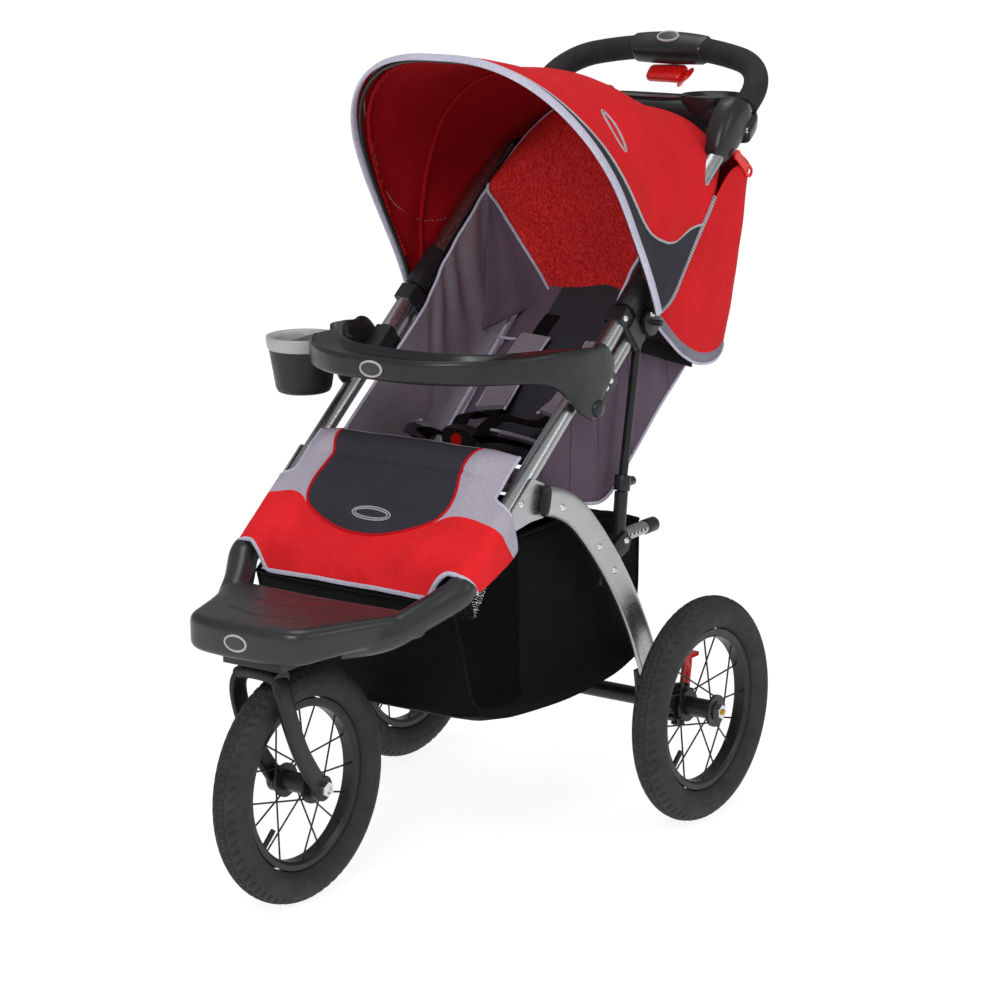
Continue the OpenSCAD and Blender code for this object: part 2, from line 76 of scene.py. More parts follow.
def from_hinge(x, r, degrees):
    """A point at a distance and angle from the fold pin; 0 degrees is level to the rear."""
    a = math.radians(degrees)
    return Vector((x, HINGE[0] + r * math.cos(a), HINGE[1] + r * math.sin(a)))


def curve_through(points):
    """A function of x through (x, y) pairs, eased with smooth slopes."""
    xs = [p[0] for p in points]
    ys = [p[1] for p in points]
    slopes = []
    for i in range(len(points)):
        a = max(i - 1, 0)
        b = min(i + 1, len(points) - 1)
        slopes.append((ys[b] - ys[a]) / (xs[b] - xs[a]))

    def value(x):
        x = min(max(x, xs[0]), xs[-1])
        i = max(k for k in range(len(xs) - 1) if xs[k] <= x)
        w = xs[i + 1] - xs[i]
        t = (x - xs[i]) / w
        t2, t3 = t * t, t * t * t
        start = (2 * t3 - 3 * t2 + 1) * ys[i] + (t3 - 2 * t2 + t) * w * slopes[i]
        end = (3 * t2 - 2 * t3) * ys[i + 1] + (t3 - t2) * w * slopes[i + 1]
        return start + end

    return value


def ease(x, low, high):
    """0 below low, 1 above high, smooth between."""
    t = min(max((x - low) / (high - low), 0.0), 1.0)
    return t * t * (3 - 2 * t)


def mix(a, b, t):
    return a + (b - a) * t


def smooth_path(points, steps=8, closed=False):
    """A rounded path through the points."""
    points = [Vector(p) for p in points]
    n = len(points)
    path = []
    for i in range(n if closed else n - 1):
        if closed:
            a, b, c, d = (points[(i + k) % n] for k in (-1, 0, 1, 2))
        else:
            a, b, c, d = (points[min(max(i + k, 0), n - 1)] for k in (-1, 0, 1, 2))
        for s in range(steps):
            t = s / steps
            bend = 2 * b + (c - a) * t + (2 * a - 5 * b + 4 * c - d) * t * t
            path.append(0.5 * (bend + (3 * b - a - 3 * c + d) * t**3))
    if not closed:
        path.append(points[-1])
    return path


def wobble(p, size, seed=0):
    """A smooth random number from -1 to 1 that changes over about size millimetres."""
    return noise.noise(Vector(p) / size + Vector((seed * 7.3, seed * 3.1, seed)))


# ---------- meshes ----------


def mesh_piece(name, points, faces, materials, body, sharp=None):
    """A mesh object from millimetre points. It rides on the CAD body if one is given."""
    mesh = bpy.data.meshes.new(name)
    mesh.from_pydata([Vector(p) * 0.001 for p in points], [], faces)
    mesh.update()
    mesh.shade_smooth()
    if sharp is not None:
        mesh.set_sharp_from_angle(angle=math.radians(sharp))
    obj = bpy.data.objects.new(name, mesh)
    bpy.context.scene.collection.objects.link(obj)
    for m in materials if isinstance(materials, (list, tuple)) else [materials]:
        mesh.materials.append(m)
    if body:
        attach(obj, body)
    return obj


def grid(rows, closed=False):
    """Points and quads between rows of points. closed joins each row's end to its start."""
    width = len(rows[0])
    points = [p for row in rows for p in row]
    faces = []
    for i in range(len(rows) - 1):
        for j in range(width if closed else width - 1):
            k = (j + 1) % width
            low, high = i * width, (i + 1) * width
            faces.append((low + j, low + k, high + k, high + j))
    return points, faces


def loft(name, rings, materials, body, sharp=50, closed_path=False):
    """A closed solid through rings of points."""
    if closed_path:
        rings = rings + [rings[0]]
    points, faces = grid(rings, closed=True)
    if not closed_path:
        n, last = len(rings[0]), len(points) - len(rings[0])
        faces.append(tuple(reversed(range(n))))
        faces.append(tuple(range(last, last + n)))
    return mesh_piece(name, points, faces, materials, body, sharp)


def cloth_piece(name, rows, materials, body, thick=1.4, turned=False):
    """A sewn sheet: a grid with the second material on its back, or its front if turned."""
    points, faces = grid(rows)
    if turned:
        faces = [tuple(reversed(f)) for f in faces]
    obj = mesh_piece(name, points, faces, materials, body)
    shell = obj.modifiers.new("thickness", "SOLIDIFY")
    shell.thickness = thick * 0.001
    shell.offset = 0
    shell.use_even_offset = False
    if len(obj.data.materials) > 1:
        shell.material_offset = 1
        shell.material_offset_rim = 1
    return obj


def oval(half_w, half_h, power=2.0, count=16):
    """A closed section: power 2 is an ellipse, more is squarer."""
    section = []
    for i in range(count):
        a = 2 * math.pi * i / count
        c, s = math.cos(a), math.sin(a)
        x = math.copysign(abs(c) ** (2 / power), c) * half_w
        y = math.copysign(abs(s) ** (2 / power), s) * half_h
        section.append((x, y))
    return section


def sweep_rings(path, section, up=None, closed=False):
    """Rings of a section carried along a path. up turns the section's second axis.

    section and up may be one value, or a list with one for each point of the path."""
    rings, carried = [], Vector((0.13, 0.21, 0.97))
    n = len(path)
    for i, p in enumerate(path):
        if closed:
            ahead = path[(i + 1) % n] - path[i - 1]
        else:
            ahead = path[min(i + 1, n - 1)] - path[max(i - 1, 0)]
        ahead.normalize()
        hint = carried if up is None else (up[i] if isinstance(up, list) else up)
        side = ahead.cross(hint).normalized()
        high = side.cross(ahead).normalized()
        carried = high
        shape = section[i] if isinstance(section[0], list) else section
        rings.append([p + side * a + high * b for a, b in shape])
    return rings


def tube(name, path, radius, material, body, sides=10, closed=False, up=None, flat=1.0):
    """A round cord along a path, or a flattened one where flat is below 1."""
    rings = sweep_rings(path, oval(radius, radius * flat, 2.0, sides), up, closed)
    return loft(name, rings, material, body, sharp=None, closed_path=closed)


def lathe(name, profile, centre, material, body, axis="z", count=48, sharp=35):
    """A turned solid. The profile is (radius, height) pairs along the axis."""
    rings = []
    for r, h in profile:
        ring = []
        for i in range(count):
            a = 2 * math.pi * i / count
            c, s = r * math.cos(a), r * math.sin(a)
            offset = {"z": (c, s, h), "x": (h, c, s), "y": (s, h, c)}[axis]
            ring.append(Vector(centre) + Vector(offset))
        rings.append(ring)
    return loft(name, rings, material, body, sharp)


def paint(obj, name, values):
    """Stores one number on each vertex, for a material to read as a seam's distance."""
    layer = obj.data.attributes.new(name, "FLOAT", "POINT")
    layer.data.foreach_set("value", values)


SIDES = ((-1, "left"), (1, "right"))


def both_sides(make):
    """Calls make(sign, word) for the left and the right."""
    return [make(sign, word) for sign, word in SIDES]


def seam_distance(point, path, inside):
    """Signed distance in millimetres from a 2-D path, positive where inside says so."""
    px, py = point
    best = 1e9
    for (ax, ay), (bx, by) in zip(path, path[1:]):
        dx, dy = bx - ax, by - ay
        t = ((px - ax) * dx + (py - ay) * dy) / max(dx * dx + dy * dy, 1e-9)
        t = min(max(t, 0.0), 1.0)
        best = min(best, math.hypot(px - ax - t * dx, py - ay - t * dy))
    return best if inside else -best


def in_polygon(point, corners):
    px, py = point
    found = False
    for (ax, ay), (bx, by) in zip(corners, corners[1:] + corners[:1]):
        if (ay > py) != (by > py) and px < (bx - ax) * (py - ay) / (by - ay) + ax:
            found = not found
    return found


# ---------- materials ----------


def rgb(r, g, b):
    """A screen colour as the linear colour that shaders use."""
    linear = []
    for v in (r, g, b):
        s = v / 255
        linear.append(s / 12.92 if s <= 0.04045 else ((s + 0.055) / 1.055) ** 2.4)
    return (*linear, 1.0)


class Finish:
    """A Principled material built from a few node chains in object coordinates."""

    def __init__(self, name, roughness, metallic=0.0, **constants):
        self.material = bpy.data.materials.new(name)
        self.material.use_nodes = True
        self.tree = self.material.node_tree
        self.shader = self.tree.nodes["Principled BSDF"]
        self.place = self.node("ShaderNodeTexCoord").outputs["Object"]
        self.shader.inputs["Roughness"].default_value = roughness
        self.shader.inputs["Metallic"].default_value = metallic
        for socket, value in constants.items():
            self.shader.inputs[socket.replace("_", " ")].default_value = value

    def node(self, kind, **settings):
        made = self.tree.nodes.new(kind)
        for key, value in settings.items():
            setattr(made, key, value)
        return made

    def link(self, output, target):
        self.tree.links.new(output, target)

    def feed(self, socket, value):
        """Links an output, or sets a constant."""
        if isinstance(value, bpy.types.NodeSocket):
            self.link(value, socket)
        else:
            socket.default_value = value

    def stretched(self, stretch, turn=(0, 0, 0)):
        mapping = self.node("ShaderNodeMapping")
        self.link(self.place, mapping.inputs["Vector"])
        mapping.inputs["Scale"].default_value = stretch
        mapping.inputs["Rotation"].default_value = turn
        return mapping.outputs["Vector"]

    def noise(self, per_metre, detail=3.0, stretch=None, turn=(0, 0, 0)):
        tex = self.node("ShaderNodeTexNoise")
        self.link(self.stretched(stretch, turn) if stretch else self.place, tex.inputs["Vector"])
        tex.inputs["Scale"].default_value = per_metre
        tex.inputs["Detail"].default_value = detail
        return tex.outputs["Fac"]

    def cells(self, per_metre):
        tex = self.node("ShaderNodeTexVoronoi")
        self.link(self.place, tex.inputs["Vector"])
        tex.inputs["Scale"].default_value = per_metre
        return tex.outputs["Distance"]

    def threads(self, pitch_mm, direction, turn=(0, 0, 0)):
        """Fine parallel ridges, one every pitch_mm, square to a direction."""
        tex = self.node("ShaderNodeTexWave", bands_direction=direction)
        self.link(self.stretched((1, 1, 1), turn), tex.inputs["Vector"])
        tex.inputs["Scale"].default_value = 2 * math.pi / (20 * pitch_mm * 0.001)
        return tex.outputs["Fac"]

    def attribute(self, name):
        return self.node("ShaderNodeAttribute", attribute_name=name).outputs["Fac"]

    def math(self, operation, a, b=0.0, c=0.0):
        made = self.node("ShaderNodeMath", operation=operation)
        for socket, value in zip(made.inputs, (a, b, c)):
            self.feed(socket, value)
        return made.outputs[0]

    def ramp(self, value, low, high, to_low=0.0, to_high=1.0):
        made = self.node("ShaderNodeMapRange")
        for socket, v in zip(made.inputs, (value, low, high, to_low, to_high)):
            self.feed(socket, v)
        return made.outputs[0]

    def blend(self, share, a, b, kind="MIX"):
        made = self.node("ShaderNodeMix", data_type="RGBA", blend_type=kind)
        for socket, value in zip((made.inputs[0], made.inputs[6], made.inputs[7]), (share, a, b)):
            self.feed(socket, value)
        return made.outputs[2]

    def colour(self, value):
        self.feed(self.shader.inputs["Base Color"], value)

    def rough(self, value):
        self.feed(self.shader.inputs["Roughness"], value)

    def bump(self, height, strength, depth_mm):
        made = self.node("ShaderNodeBump")
        made.inputs["Strength"].default_value = strength
        made.inputs["Distance"].default_value = depth_mm * 0.001
        self.link(height, made.inputs["Height"])
        previous = self.shader.inputs["Normal"]
        if previous.is_linked:
            self.link(previous.links[0].from_socket, made.inputs["Normal"])
        self.link(made.outputs["Normal"], previous)

    def shaded(self, colour, dark=0.88, bright=1.08, per_metre=14):
        """A colour that drifts a little lighter and darker over the surface."""
        low = [c * dark for c in colour[:3]] + [1.0]
        high = [min(c * bright, 1.0) for c in colour[:3]] + [1.0]
        return self.blend(self.ramp(self.noise(per_metre), 0.3, 0.7), low, high)


def weave(finish, pitch, strength=0.35):
    """Over-and-under threads, as a bump that works on a surface facing any way."""
    across = finish.threads(pitch, "X")
    up = finish.threads(pitch, "Z")
    along = finish.threads(pitch, "Y")
    height = finish.math("MULTIPLY", finish.math("ADD", finish.math("ADD", across, up), along), 0.33)
    finish.bump(height, strength, 0.35)
    return height


def cloth_finish(name, colours, edges=(), pitch=1.7, creases=0.35, streaks=0.06, **constants):
    """Woven fabric. colours[0] is the ground; edges[i] names the attribute that, where it
    is above zero, changes the colour to colours[i + 1]."""
    made = Finish(name, 0.86, Specular_IOR_Level=0.1, **constants)
    shade = made.shaded(colours[0], 0.9, 1.06, 11)
    for colour, edge in zip(colours[1:], edges):
        beyond = made.ramp(made.attribute(edge), -0.35, 0.35)
        shade = made.blend(beyond, shade, made.shaded(colour, 0.88, 1.1, 16))
    thread = made.noise(520, 2.0, (1, 1, 0.35))
    dark = made.ramp(thread, 0.35, 0.7, 1 - streaks * 2, 1 + streaks)
    made.colour(made.blend(1.0, shade, dark, "MULTIPLY"))
    made.rough(made.ramp(made.noise(60), 0.3, 0.7, 0.78, 0.92))
    weave(made, pitch)
    made.bump(made.noise(34, 4.0, (1, 1, 0.6)), creases, 3.0)
    return made.material


def heather_finish(name, dark, bright):
    """Melange knit: short light and dark threads mixed at random."""
    made = Finish(name, 0.93, Specular_IOR_Level=0.1)
    fleck = made.noise(430, 3.0, (1, 1, 0.4))
    speck = made.noise(900, 2.0, (1, 1, 0.7))
    share = made.ramp(made.math("ADD", fleck, made.math("MULTIPLY", speck, 0.6)), 0.62, 1.0)
    ground = made.blend(share, dark, bright)
    drift = made.ramp(made.noise(9), 0.3, 0.7, 0.86, 1.08)
    made.colour(made.blend(1.0, ground, drift, "MULTIPLY"))
    weave(made, 2.1, 0.3)
    made.bump(fleck, 0.25, 0.6)
    made.bump(made.noise(26, 3.0), 0.3, 3.0)
    return made.material


def plastic_finish(name, colour, roughness=0.42, grain=0.12, **constants):
    """Moulded plastic with a fine spark-eroded grain and rubbed patches."""
    made = Finish(name, roughness, Specular_IOR_Level=0.35, **constants)
    made.colour(made.shaded(colour, 0.85, 1.12, 18))
    worn = made.noise(46, 4.0)
    made.rough(made.ramp(worn, 0.3, 0.7, roughness - 0.05, roughness + 0.09))
    made.bump(made.noise(1500, 2.0), grain, 0.12)
    return made.material


def metal_finish(name, colour, roughness, along=SLOPE, brushed=0.08):
    """Satin metal with faint drawn lines along the tubes."""
    made = Finish(name, roughness, metallic=1.0)
    lines = made.noise(90, 3.0, (6, 0.5, 6), (-along, 0, 0))
    made.colour(made.shaded(colour, 0.93, 1.05, 9))
    made.rough(made.ramp(lines, 0.3, 0.7, roughness - brushed, roughness + brushed))
    made.bump(lines, 0.05, 0.1)
    return made.material


def rubber_finish(name, colour, pits=900, depth=0.35, roughness=0.82):
    made = Finish(name, roughness, Specular_IOR_Level=0.35)
    made.colour(made.shaded(colour, 0.8, 1.25, 40))
    made.rough(made.ramp(made.noise(120), 0.3, 0.7, roughness - 0.1, roughness + 0.06))
    made.bump(made.noise(pits, 3.0), depth, 0.3)
    return made.material


def mesh_finish(name, colour, pitch, opening, region=None):
    """Open netting: threads with clear holes. region limits the holes to an attribute."""
    made = Finish(name, 0.75, Specular_IOR_Level=0.1)
    tilt = (math.radians(38), 0, 0)
    one = made.threads(pitch, "Y", tilt)
    two = made.threads(pitch, "Z", tilt)
    height = made.math("MAXIMUM", one, two)
    # The net is painted darker between its threads: painted shade in the gaps, beside the bump.
    made.colour(made.blend(made.ramp(height, 0.4, 1.0), [c * 0.4 for c in colour[:3]] + [1], colour))
    made.bump(height, 0.6, 0.5)
    hole = made.math("LESS_THAN", height, opening)
    if region:
        hole = made.math("MULTIPLY", hole, made.math("GREATER_THAN", made.attribute(region), 0.0))
    made.feed(made.shader.inputs["Alpha"], made.math("SUBTRACT", 1.0, hole))
    return made.material


RED = rgb(212, 34, 40)
# The lining's deep red is partly its own darker inner coat and partly painted shade of the canopy's inside.
RED_DEEP_SHADED = rgb(150, 12, 20)
MAUVE = rgb(174, 168, 182)
# Mauve lightened for the lit copy of the mauve canvas: painted light.
MAUVE_LIT = rgb(136, 128, 138)
MAUVE_DEEP = rgb(98, 84, 97)
CHARCOAL = rgb(56, 55, 62)
LILAC = rgb(192, 190, 208)

canopy_cloth = cloth_finish("canopy_red_canvas", [RED, CHARCOAL], ["charcoal"])
# The lining material is partly painted shade. It also backs the drape and covers the rib casing and the
# elastic gather.
canopy_lining_shaded = cloth_finish("canopy_lining_shaded", [RED_DEEP_SHADED], creases=0.5)
drape_cloth = cloth_finish("drape_red_canvas", [RED, rgb(128, 126, 138)], ["hem_band"])
mauve_cloth = cloth_finish("mauve_canvas", [MAUVE_DEEP], pitch=1.6, creases=0.3)
# A lighter copy of the mauve canvas: painted light. The side wings carry it on one face, and the harness pads
# use it too.
lit_mauve = cloth_finish("lit_mauve_canvas", [MAUVE_LIT], pitch=1.6, creases=0.3)
leg_cloth = cloth_finish(
    "leg_rest_canvas", [MAUVE, rgb(226, 38, 44), CHARCOAL], ["red_part", "shield"], creases=0.3
)
back_cloth = cloth_finish("seat_back_canvas", [MAUVE_DEEP, CHARCOAL], ["middle"], creases=0.3)
heather = heather_finish("red_heather", rgb(172, 20, 26), rgb(236, 58, 56))
binding = cloth_finish("lilac_binding", [LILAC], pitch=1.2, creases=0.15, streaks=0.08)
piping_grey = cloth_finish("grey_piping", [rgb(176, 176, 182)], pitch=1.2, creases=0.1)
red_piping = cloth_finish("red_piping", [rgb(196, 20, 30)], pitch=1.2, creases=0.1)
black_web = cloth_finish("black_webbing", [rgb(17, 17, 18)], pitch=1.3, creases=0.1, streaks=0.15)
basket_net = mesh_finish("basket_net", rgb(8, 8, 9), 3.0, 0.86, "net")
black_plastic = plastic_finish("black_plastic", rgb(30, 31, 33), 0.36)
satin_plastic = plastic_finish("satin_black_plastic", rgb(33, 34, 36), 0.3, 0.08)
black_steel = plastic_finish("black_painted_steel", rgb(22, 23, 24), 0.38, 0.05)
red_plastic = plastic_finish("red_plastic", rgb(214, 24, 18), 0.3, 0.06, Coat_Weight=0.3)
silver_plastic = plastic_finish("silver_plastic", rgb(172, 172, 175), 0.32, 0.05)
aluminium = metal_finish("satin_aluminium", rgb(172, 173, 175), 0.32)
zinc = metal_finish("zinc_plate", rgb(214, 214, 216), 0.24, 0.0)
brass = metal_finish("brassy_axle_end", rgb(196, 150, 60), 0.3, 0.0)
tyre_rubber = rubber_finish("tyre_rubber", rgb(44, 45, 46))
foam = rubber_finish("foam_grip", rgb(36, 36, 37), 1300, 0.6, 0.9)


# ---------- canopy ----------

roof_radius = curve_through([(0, 353), (0.168, 322), (0.42, 316), (0.654, 330), (0.83, 360), (1, 410)])
rear_angle = curve_through(
    [(10, 30), (42, 24), (93, 35.4), (159, 41.2), (248, 42.4), (280, 41.6), (320, 43.4), (353, 45)]
)
front_angle = curve_through([(10, 104), (44, 110), (120, 115.5), (220, 118), (310, 119.6), (412, 120.6)])
# Upper edge of the charcoal corner panel, as (distance from the pin, angle)
SCALLOP = [
    (205, 30), (176, 40), (148, 48.8), (116, 60), (106, 80.5), (127, 101), (163, 109),
    (219, 112.2), (262, 114.2), (309, 116.6), (350, 118), (395, 119.2), (430, 119.8),
]


def canopy_point(t, s):
    """t runs from the rear seam to the front bow, s from the left hem over to the right."""
    half_w = mix(190.5, 206, t**0.7)
    top = roof_radius(t)
    corner = mix(180, 250, t)
    flat = 12
    low = 13
    over = 1 - abs(2 * s - 1)
    sign = -1 if s < 0.5 else 1
    if over < 0.42:
        w = over / 0.42
        x, r = half_w, mix(low, top - corner, w)
    elif over < 0.92:
        a = (over - 0.42) / 0.5 * math.pi / 2
        c, d = max(math.cos(a), 0.0), math.sin(a)
        x = flat + (half_w - flat) * c ** (2 / 2.35)
        r = top - corner + corner * d ** (2 / 2.35)
    else:
        x, r = flat * (1 - over) / 0.08, top
    angle = mix(rear_angle(r), front_angle(r), t)
    spread = 0.56
    span = (t / spread) if t < spread else (t - spread) / (1 - spread)
    sag = math.sin(math.pi * span) ** 2 * ease(over, 0.5, 0.9)
    fold = math.sin(9 * math.radians(angle) + 0.02 * r) * ease(r, 40, 120) * (1 - ease(r, 190, 330))
    p = from_hinge(sign * x, r, angle)
    ripple = wobble(p, 70, 2) * 2.2 + wobble(p, 28, 3) * 0.7
    edge = ease(t, 0.0, 0.06) * (1 - ease(t, 0.95, 1.0))
    r_new = r - (sag * 7 - ripple * ease(over, 0.45, 0.7)) * edge
    x_new = x + (fold * 2.2 + ripple * 0.8 - 3.5 * ease(r, 60, 160) * math.sin(math.pi * t)) * edge * (
        1 - ease(over, 0.5, 0.75)
    )
    return from_hinge(sign * x_new, r_new, angle)


def canopy_edge(t, lift=0.0, count=161):
    """The canopy's line at t, moved outwards by lift."""
    path = []
    for i in range(count):
        p = canopy_point(t, i / (count - 1))
        out = Vector((p.x, (p.y - HINGE[0]) * 0.35, (p.z - HINGE[1]) * 0.6)).normalized()
        path.append(p + out * lift)
    return path


def bend_canopy(obj):
    """Bakes the piece's placement into its mesh."""
    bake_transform(obj)


def make_canopy():
    rows = [[canopy_point(i / 56, j / 140) for j in range(141)] for i in range(57)]
    obj = cloth_piece("canopy_sheet", rows, [canopy_cloth, canopy_lining_shaded], None, turned=True)
    scallop = [(p.y, p.z) for p in smooth_path([from_hinge(0, r, a) for r, a in SCALLOP], 6)]
    corner = [(480, 126), (480, 150), (5, 150), (5, 0), (220, 10)]
    panel = scallop + [(p.y, p.z) for p in (from_hinge(0, r, a) for r, a in corner)]
    values = []
    for p in (p for row in rows for p in row):
        values.append(seam_distance((p.y, p.z), scallop, in_polygon((p.y, p.z), panel)))
    paint(obj, "charcoal", values)
    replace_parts(obj, "canopy_roof", "canopy_visor")
    bend_canopy(obj)

    front = canopy_edge(1.0)
    out = [(p - Vector((0, HINGE[0], HINGE[1]))).normalized() for p in front]
    trim = [tube("canopy_front_binding", front, 6.6, binding, None, 12, up=out, flat=0.42)]
    bow = tube("canopy_bow_rod", canopy_edge(0.985, -5.5), 3.0, black_plastic, "canopy_front", 10)
    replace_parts(bow, "canopy_bow")
    for sign, word in SIDES:
        trim.append(scallop_piping(sign, word, scallop))
        trim.append(canopy_rear_piping(sign, word))
        trim += canopy_oval(sign, word)
    rib_path = canopy_edge(0.56, -3.2, 121)[6:-6]
    trim.append(tube("canopy_rib_casing", rib_path, 3.4, canopy_lining_shaded, None, 10, flat=0.7))
    trim.append(elastic_gather())
    for piece in trim:
        bend_canopy(piece)


def scallop_piping(sign, word, scallop):
    path = []
    for y, z in scallop:
        r = math.hypot(y - HINGE[0], z - HINGE[1])
        near = on_canopy(sign, r, math.degrees(math.atan2(z - HINGE[1], y - HINGE[0])))
        if near is not None:
            path.append(near)
    return tube(f"canopy_piping_{word}", path, 1.7, piping_grey, None, 8)


def canopy_rear_piping(sign, word):
    path = []
    for k in range(23):
        over = 0.011 * k
        p = canopy_point(0.0, 1 - over if sign > 0 else over)
        path.append(p + Vector((sign * 1.5, 0, 0)))
    return tube(f"canopy_rear_piping_{word}", path, 3.0, ribbed_piping, None, 10)


def elastic_gather():
    """The puckered elastic hem just inside the front bow."""
    path = []
    for i, p in enumerate(canopy_edge(0.955, -4.0, 301)[24:-24]):
        pucker = 1.6 * math.sin(i * 1.9) + wobble(p, 12, 5) * 2.2
        path.append(p - Vector((p.x, 0, p.z - HINGE[1])).normalized() * (3 + pucker))
    return tube("canopy_elastic_gather", path, 3.4, canopy_lining_shaded, None, 8, flat=0.8)


def canopy_oval(sign, word):
    """A plain double oval where a maker would put its mark."""
    rings = []
    for k, (half_l, half_w) in enumerate(((27, 9.5), (23.5, 6.5))):
        path = []
        for i in range(48):
            a = 2 * math.pi * i / 48
            r = 262 + half_l * math.cos(a)
            angle = 103 + math.degrees(half_w * math.sin(a) / 262)
            path.append(on_canopy(sign, r, angle, 1.8))
        rings.append(tube(f"canopy_oval_{word}_{k}", path, 0.9, piping_grey, None, 6, closed=True))
    return rings


def on_canopy(sign, r, angle, lift=0.9):
    """The point of the canopy's side at a distance and angle from the pin."""
    target = from_hinge(0, r, angle)
    best, best_gap = None, 1e9
    middle, reach = (0.25, 0.5), (0.25, 0.5)
    for _ in range(9):
        found = middle
        for i in range(9):
            for j in range(9):
                s = min(max(middle[0] + reach[0] * (i / 4 - 1), 0.0), 0.5)
                t = min(max(middle[1] + reach[1] * (j / 4 - 1), 0.0), 1.0)
                p = canopy_point(t, s)
                gap = math.hypot(p.y - target.y, p.z - target.z)
                if gap < best_gap:
                    best, best_gap, found = p, gap, (s, t)
        middle = found
        reach = (reach[0] * 0.5, reach[1] * 0.5)
    if best_gap > 6:
        return None
    return Vector((sign * (lift - best.x), best.y, best.z))


def ribbed_finish():
    """Grey piping with fine ribs round it."""
    made = Finish("ribbed_grey_piping", 0.7)
    ribs = made.threads(3.2, "DIAGONAL")
    # The colour is darker in the troughs between the ribs and lighter on their crests: painted shade and
    # highlight of the ribs.
    made.colour(made.blend(ribs, rgb(104, 104, 112), rgb(176, 176, 186)))
    made.bump(ribs, 0.6, 0.5)
    return made.material


ribbed_piping = ribbed_finish()
make_canopy()

# ---------- rear drape ----------

# The drape's top and bottom edges, from the fold pin round the rear corner to the middle
DRAPE_TOP = [
    (190, 160, 690), (190, 186, 699), (190, 222, 738), (190, 266, 789), (190, 329, 850),
    (189, 361, 866), (188, 392, 864), (178, 411, 868), (150, 417, 884), (100, 419, 896), (0, 420, 900),
]
DRAPE_LOW = [
    (190, 152, 684), (190, 163, 676), (190, 190, 654), (189, 226, 628), (187, 270, 609),
    (182, 316, 604), (173, 352, 611), (158, 384, 618), (132, 404, 617), (80, 412, 611), (0, 414, 609),
]


def make_drape():
    count = 10
    top = smooth_path(DRAPE_TOP, count)
    low = smooth_path(DRAPE_LOW, count)
    half = len(top)
    top = top + [Vector((-p.x, p.y, p.z)) for p in reversed(top[:-1])]
    low = low + [Vector((-p.x, p.y, p.z)) for p in reversed(low[:-1])]
    rows, hem = [], []
    for i in range(31):
        t = i / 30
        row = []
        for j, (a, b) in enumerate(zip(top, low)):
            p = a.lerp(b, t)
            out = Vector((p.x * 0.2, p.y - 240, 0))
            out.normalize()
            span = min((a - b).length / 200, 1)
            belly = math.sin(math.pi * t) * 5 * span
            along = min(j, len(top) - 1 - j) / half
            pleat = (math.sin(along * 26) * 2.0 * t * span
                     + wobble(p, 46, 8) * 3.0 * math.sin(math.pi * t) * span)
            side = Vector((math.copysign(1, p.x), 0, 0)) * wobble(p, 60, 9) * 1.6 * math.sin(math.pi * t)
            row.append(p + out * (belly + pleat) * (0.25 + 0.75 * ease(along, 0.5, 0.7)) + side)
            drop = t * (a - b).length
            line = (a - b).length - 15
            hem.append(seam_distance((drop, 0), [(line, -99), (line, 99)], drop > line))
        rows.append(row)
    obj = cloth_piece("canopy_drape_sheet", rows, [drape_cloth, canopy_lining_shaded], "handle", turned=True)
    paint(obj, "hem_band", hem)
    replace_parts(obj, "canopy_drape")
    edge = tube("drape_hem_piping", rows[-1], 2.2, binding, "handle", 8)
    fold_up(obj, edge)


def fold_up(*pieces):
    """Gives each piece its own copy of its mesh."""
    for obj in pieces:
        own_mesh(obj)


def lie_down(*pieces, keep=0.14):
    """Gives each piece its own copy of its mesh."""
    for obj in pieces:
        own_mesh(obj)


make_drape()

# ---------- side wings ----------

WING_TOP = [
    (-112, 512), (-60, 552), (0, 598), (60, 643), (110, 684), (150, 733), (200, 779), (260, 829),
    (330, 866),
]
WING_LOW = [
    (-106, 494), (-56, 480), (-5, 468), (50, 452), (104, 452), (168, 500), (232, 552), (300, 603),
    (366, 668),
]


def make_wing(sign, word):
    top = smooth_path([(0, y, z) for y, z in WING_TOP], 14)
    low = smooth_path([(0, y, z) for y, z in WING_LOW], 14)
    rows = []
    for i in range(25):
        t = i / 24
        row = []
        for j, (a, b) in enumerate(zip(top, low)):
            p = a.lerp(b, t)
            f = j / (len(top) - 1)
            fall = math.sin(math.pi * t) ** 0.7
            pleat = math.sin(f * 62 + 2.2 * wobble(p, 90, 4)) * 3.0 * (1 - t) ** 0.6 * ease(f, 0.42, 0.6)
            pull = wobble(p, 55, 6) * 2.6 * fall
            x = 150.5 + (pleat + pull - 2.0) * min(1, fall + 0.25)
            row.append(Vector((sign * min(max(x, 143.5), 155.5), p.y, p.z)))
        rows.append(row)
    # The wing's two faces get a lighter and a darker copy of one mauve fabric. The lighter one is painted
    # light, and the left wing swaps them.
    obj = cloth_piece(f"side_wing_cloth_{word}", rows, [lit_mauve, mauve_cloth], "root")
    if sign < 0:
        obj.data.materials[0], obj.data.materials[1] = mauve_cloth, lit_mauve
    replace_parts(obj, f"side_wing_{word}")
    trim = [
        tube(f"wing_top_binding_{word}", rows[0], 2.4, binding, "root", 8),
        tube(f"wing_low_binding_{word}", rows[-1], 2.6, binding, "root", 8),
    ]
    for k, f in enumerate((0.16, 0.3, 0.45, 0.62, 0.8)):
        j = int(f * (len(top) - 1))
        line = [r[j] + Vector((sign * 0.9, 0, 0)) for r in rows]
        trim.append(tube(f"wing_seam_{word}_{k}", line, 1.1, mauve_cloth, "root", 6))
    lie_down(obj, *trim, keep=0.2)


both_sides(make_wing)

# ---------- leg rest ----------

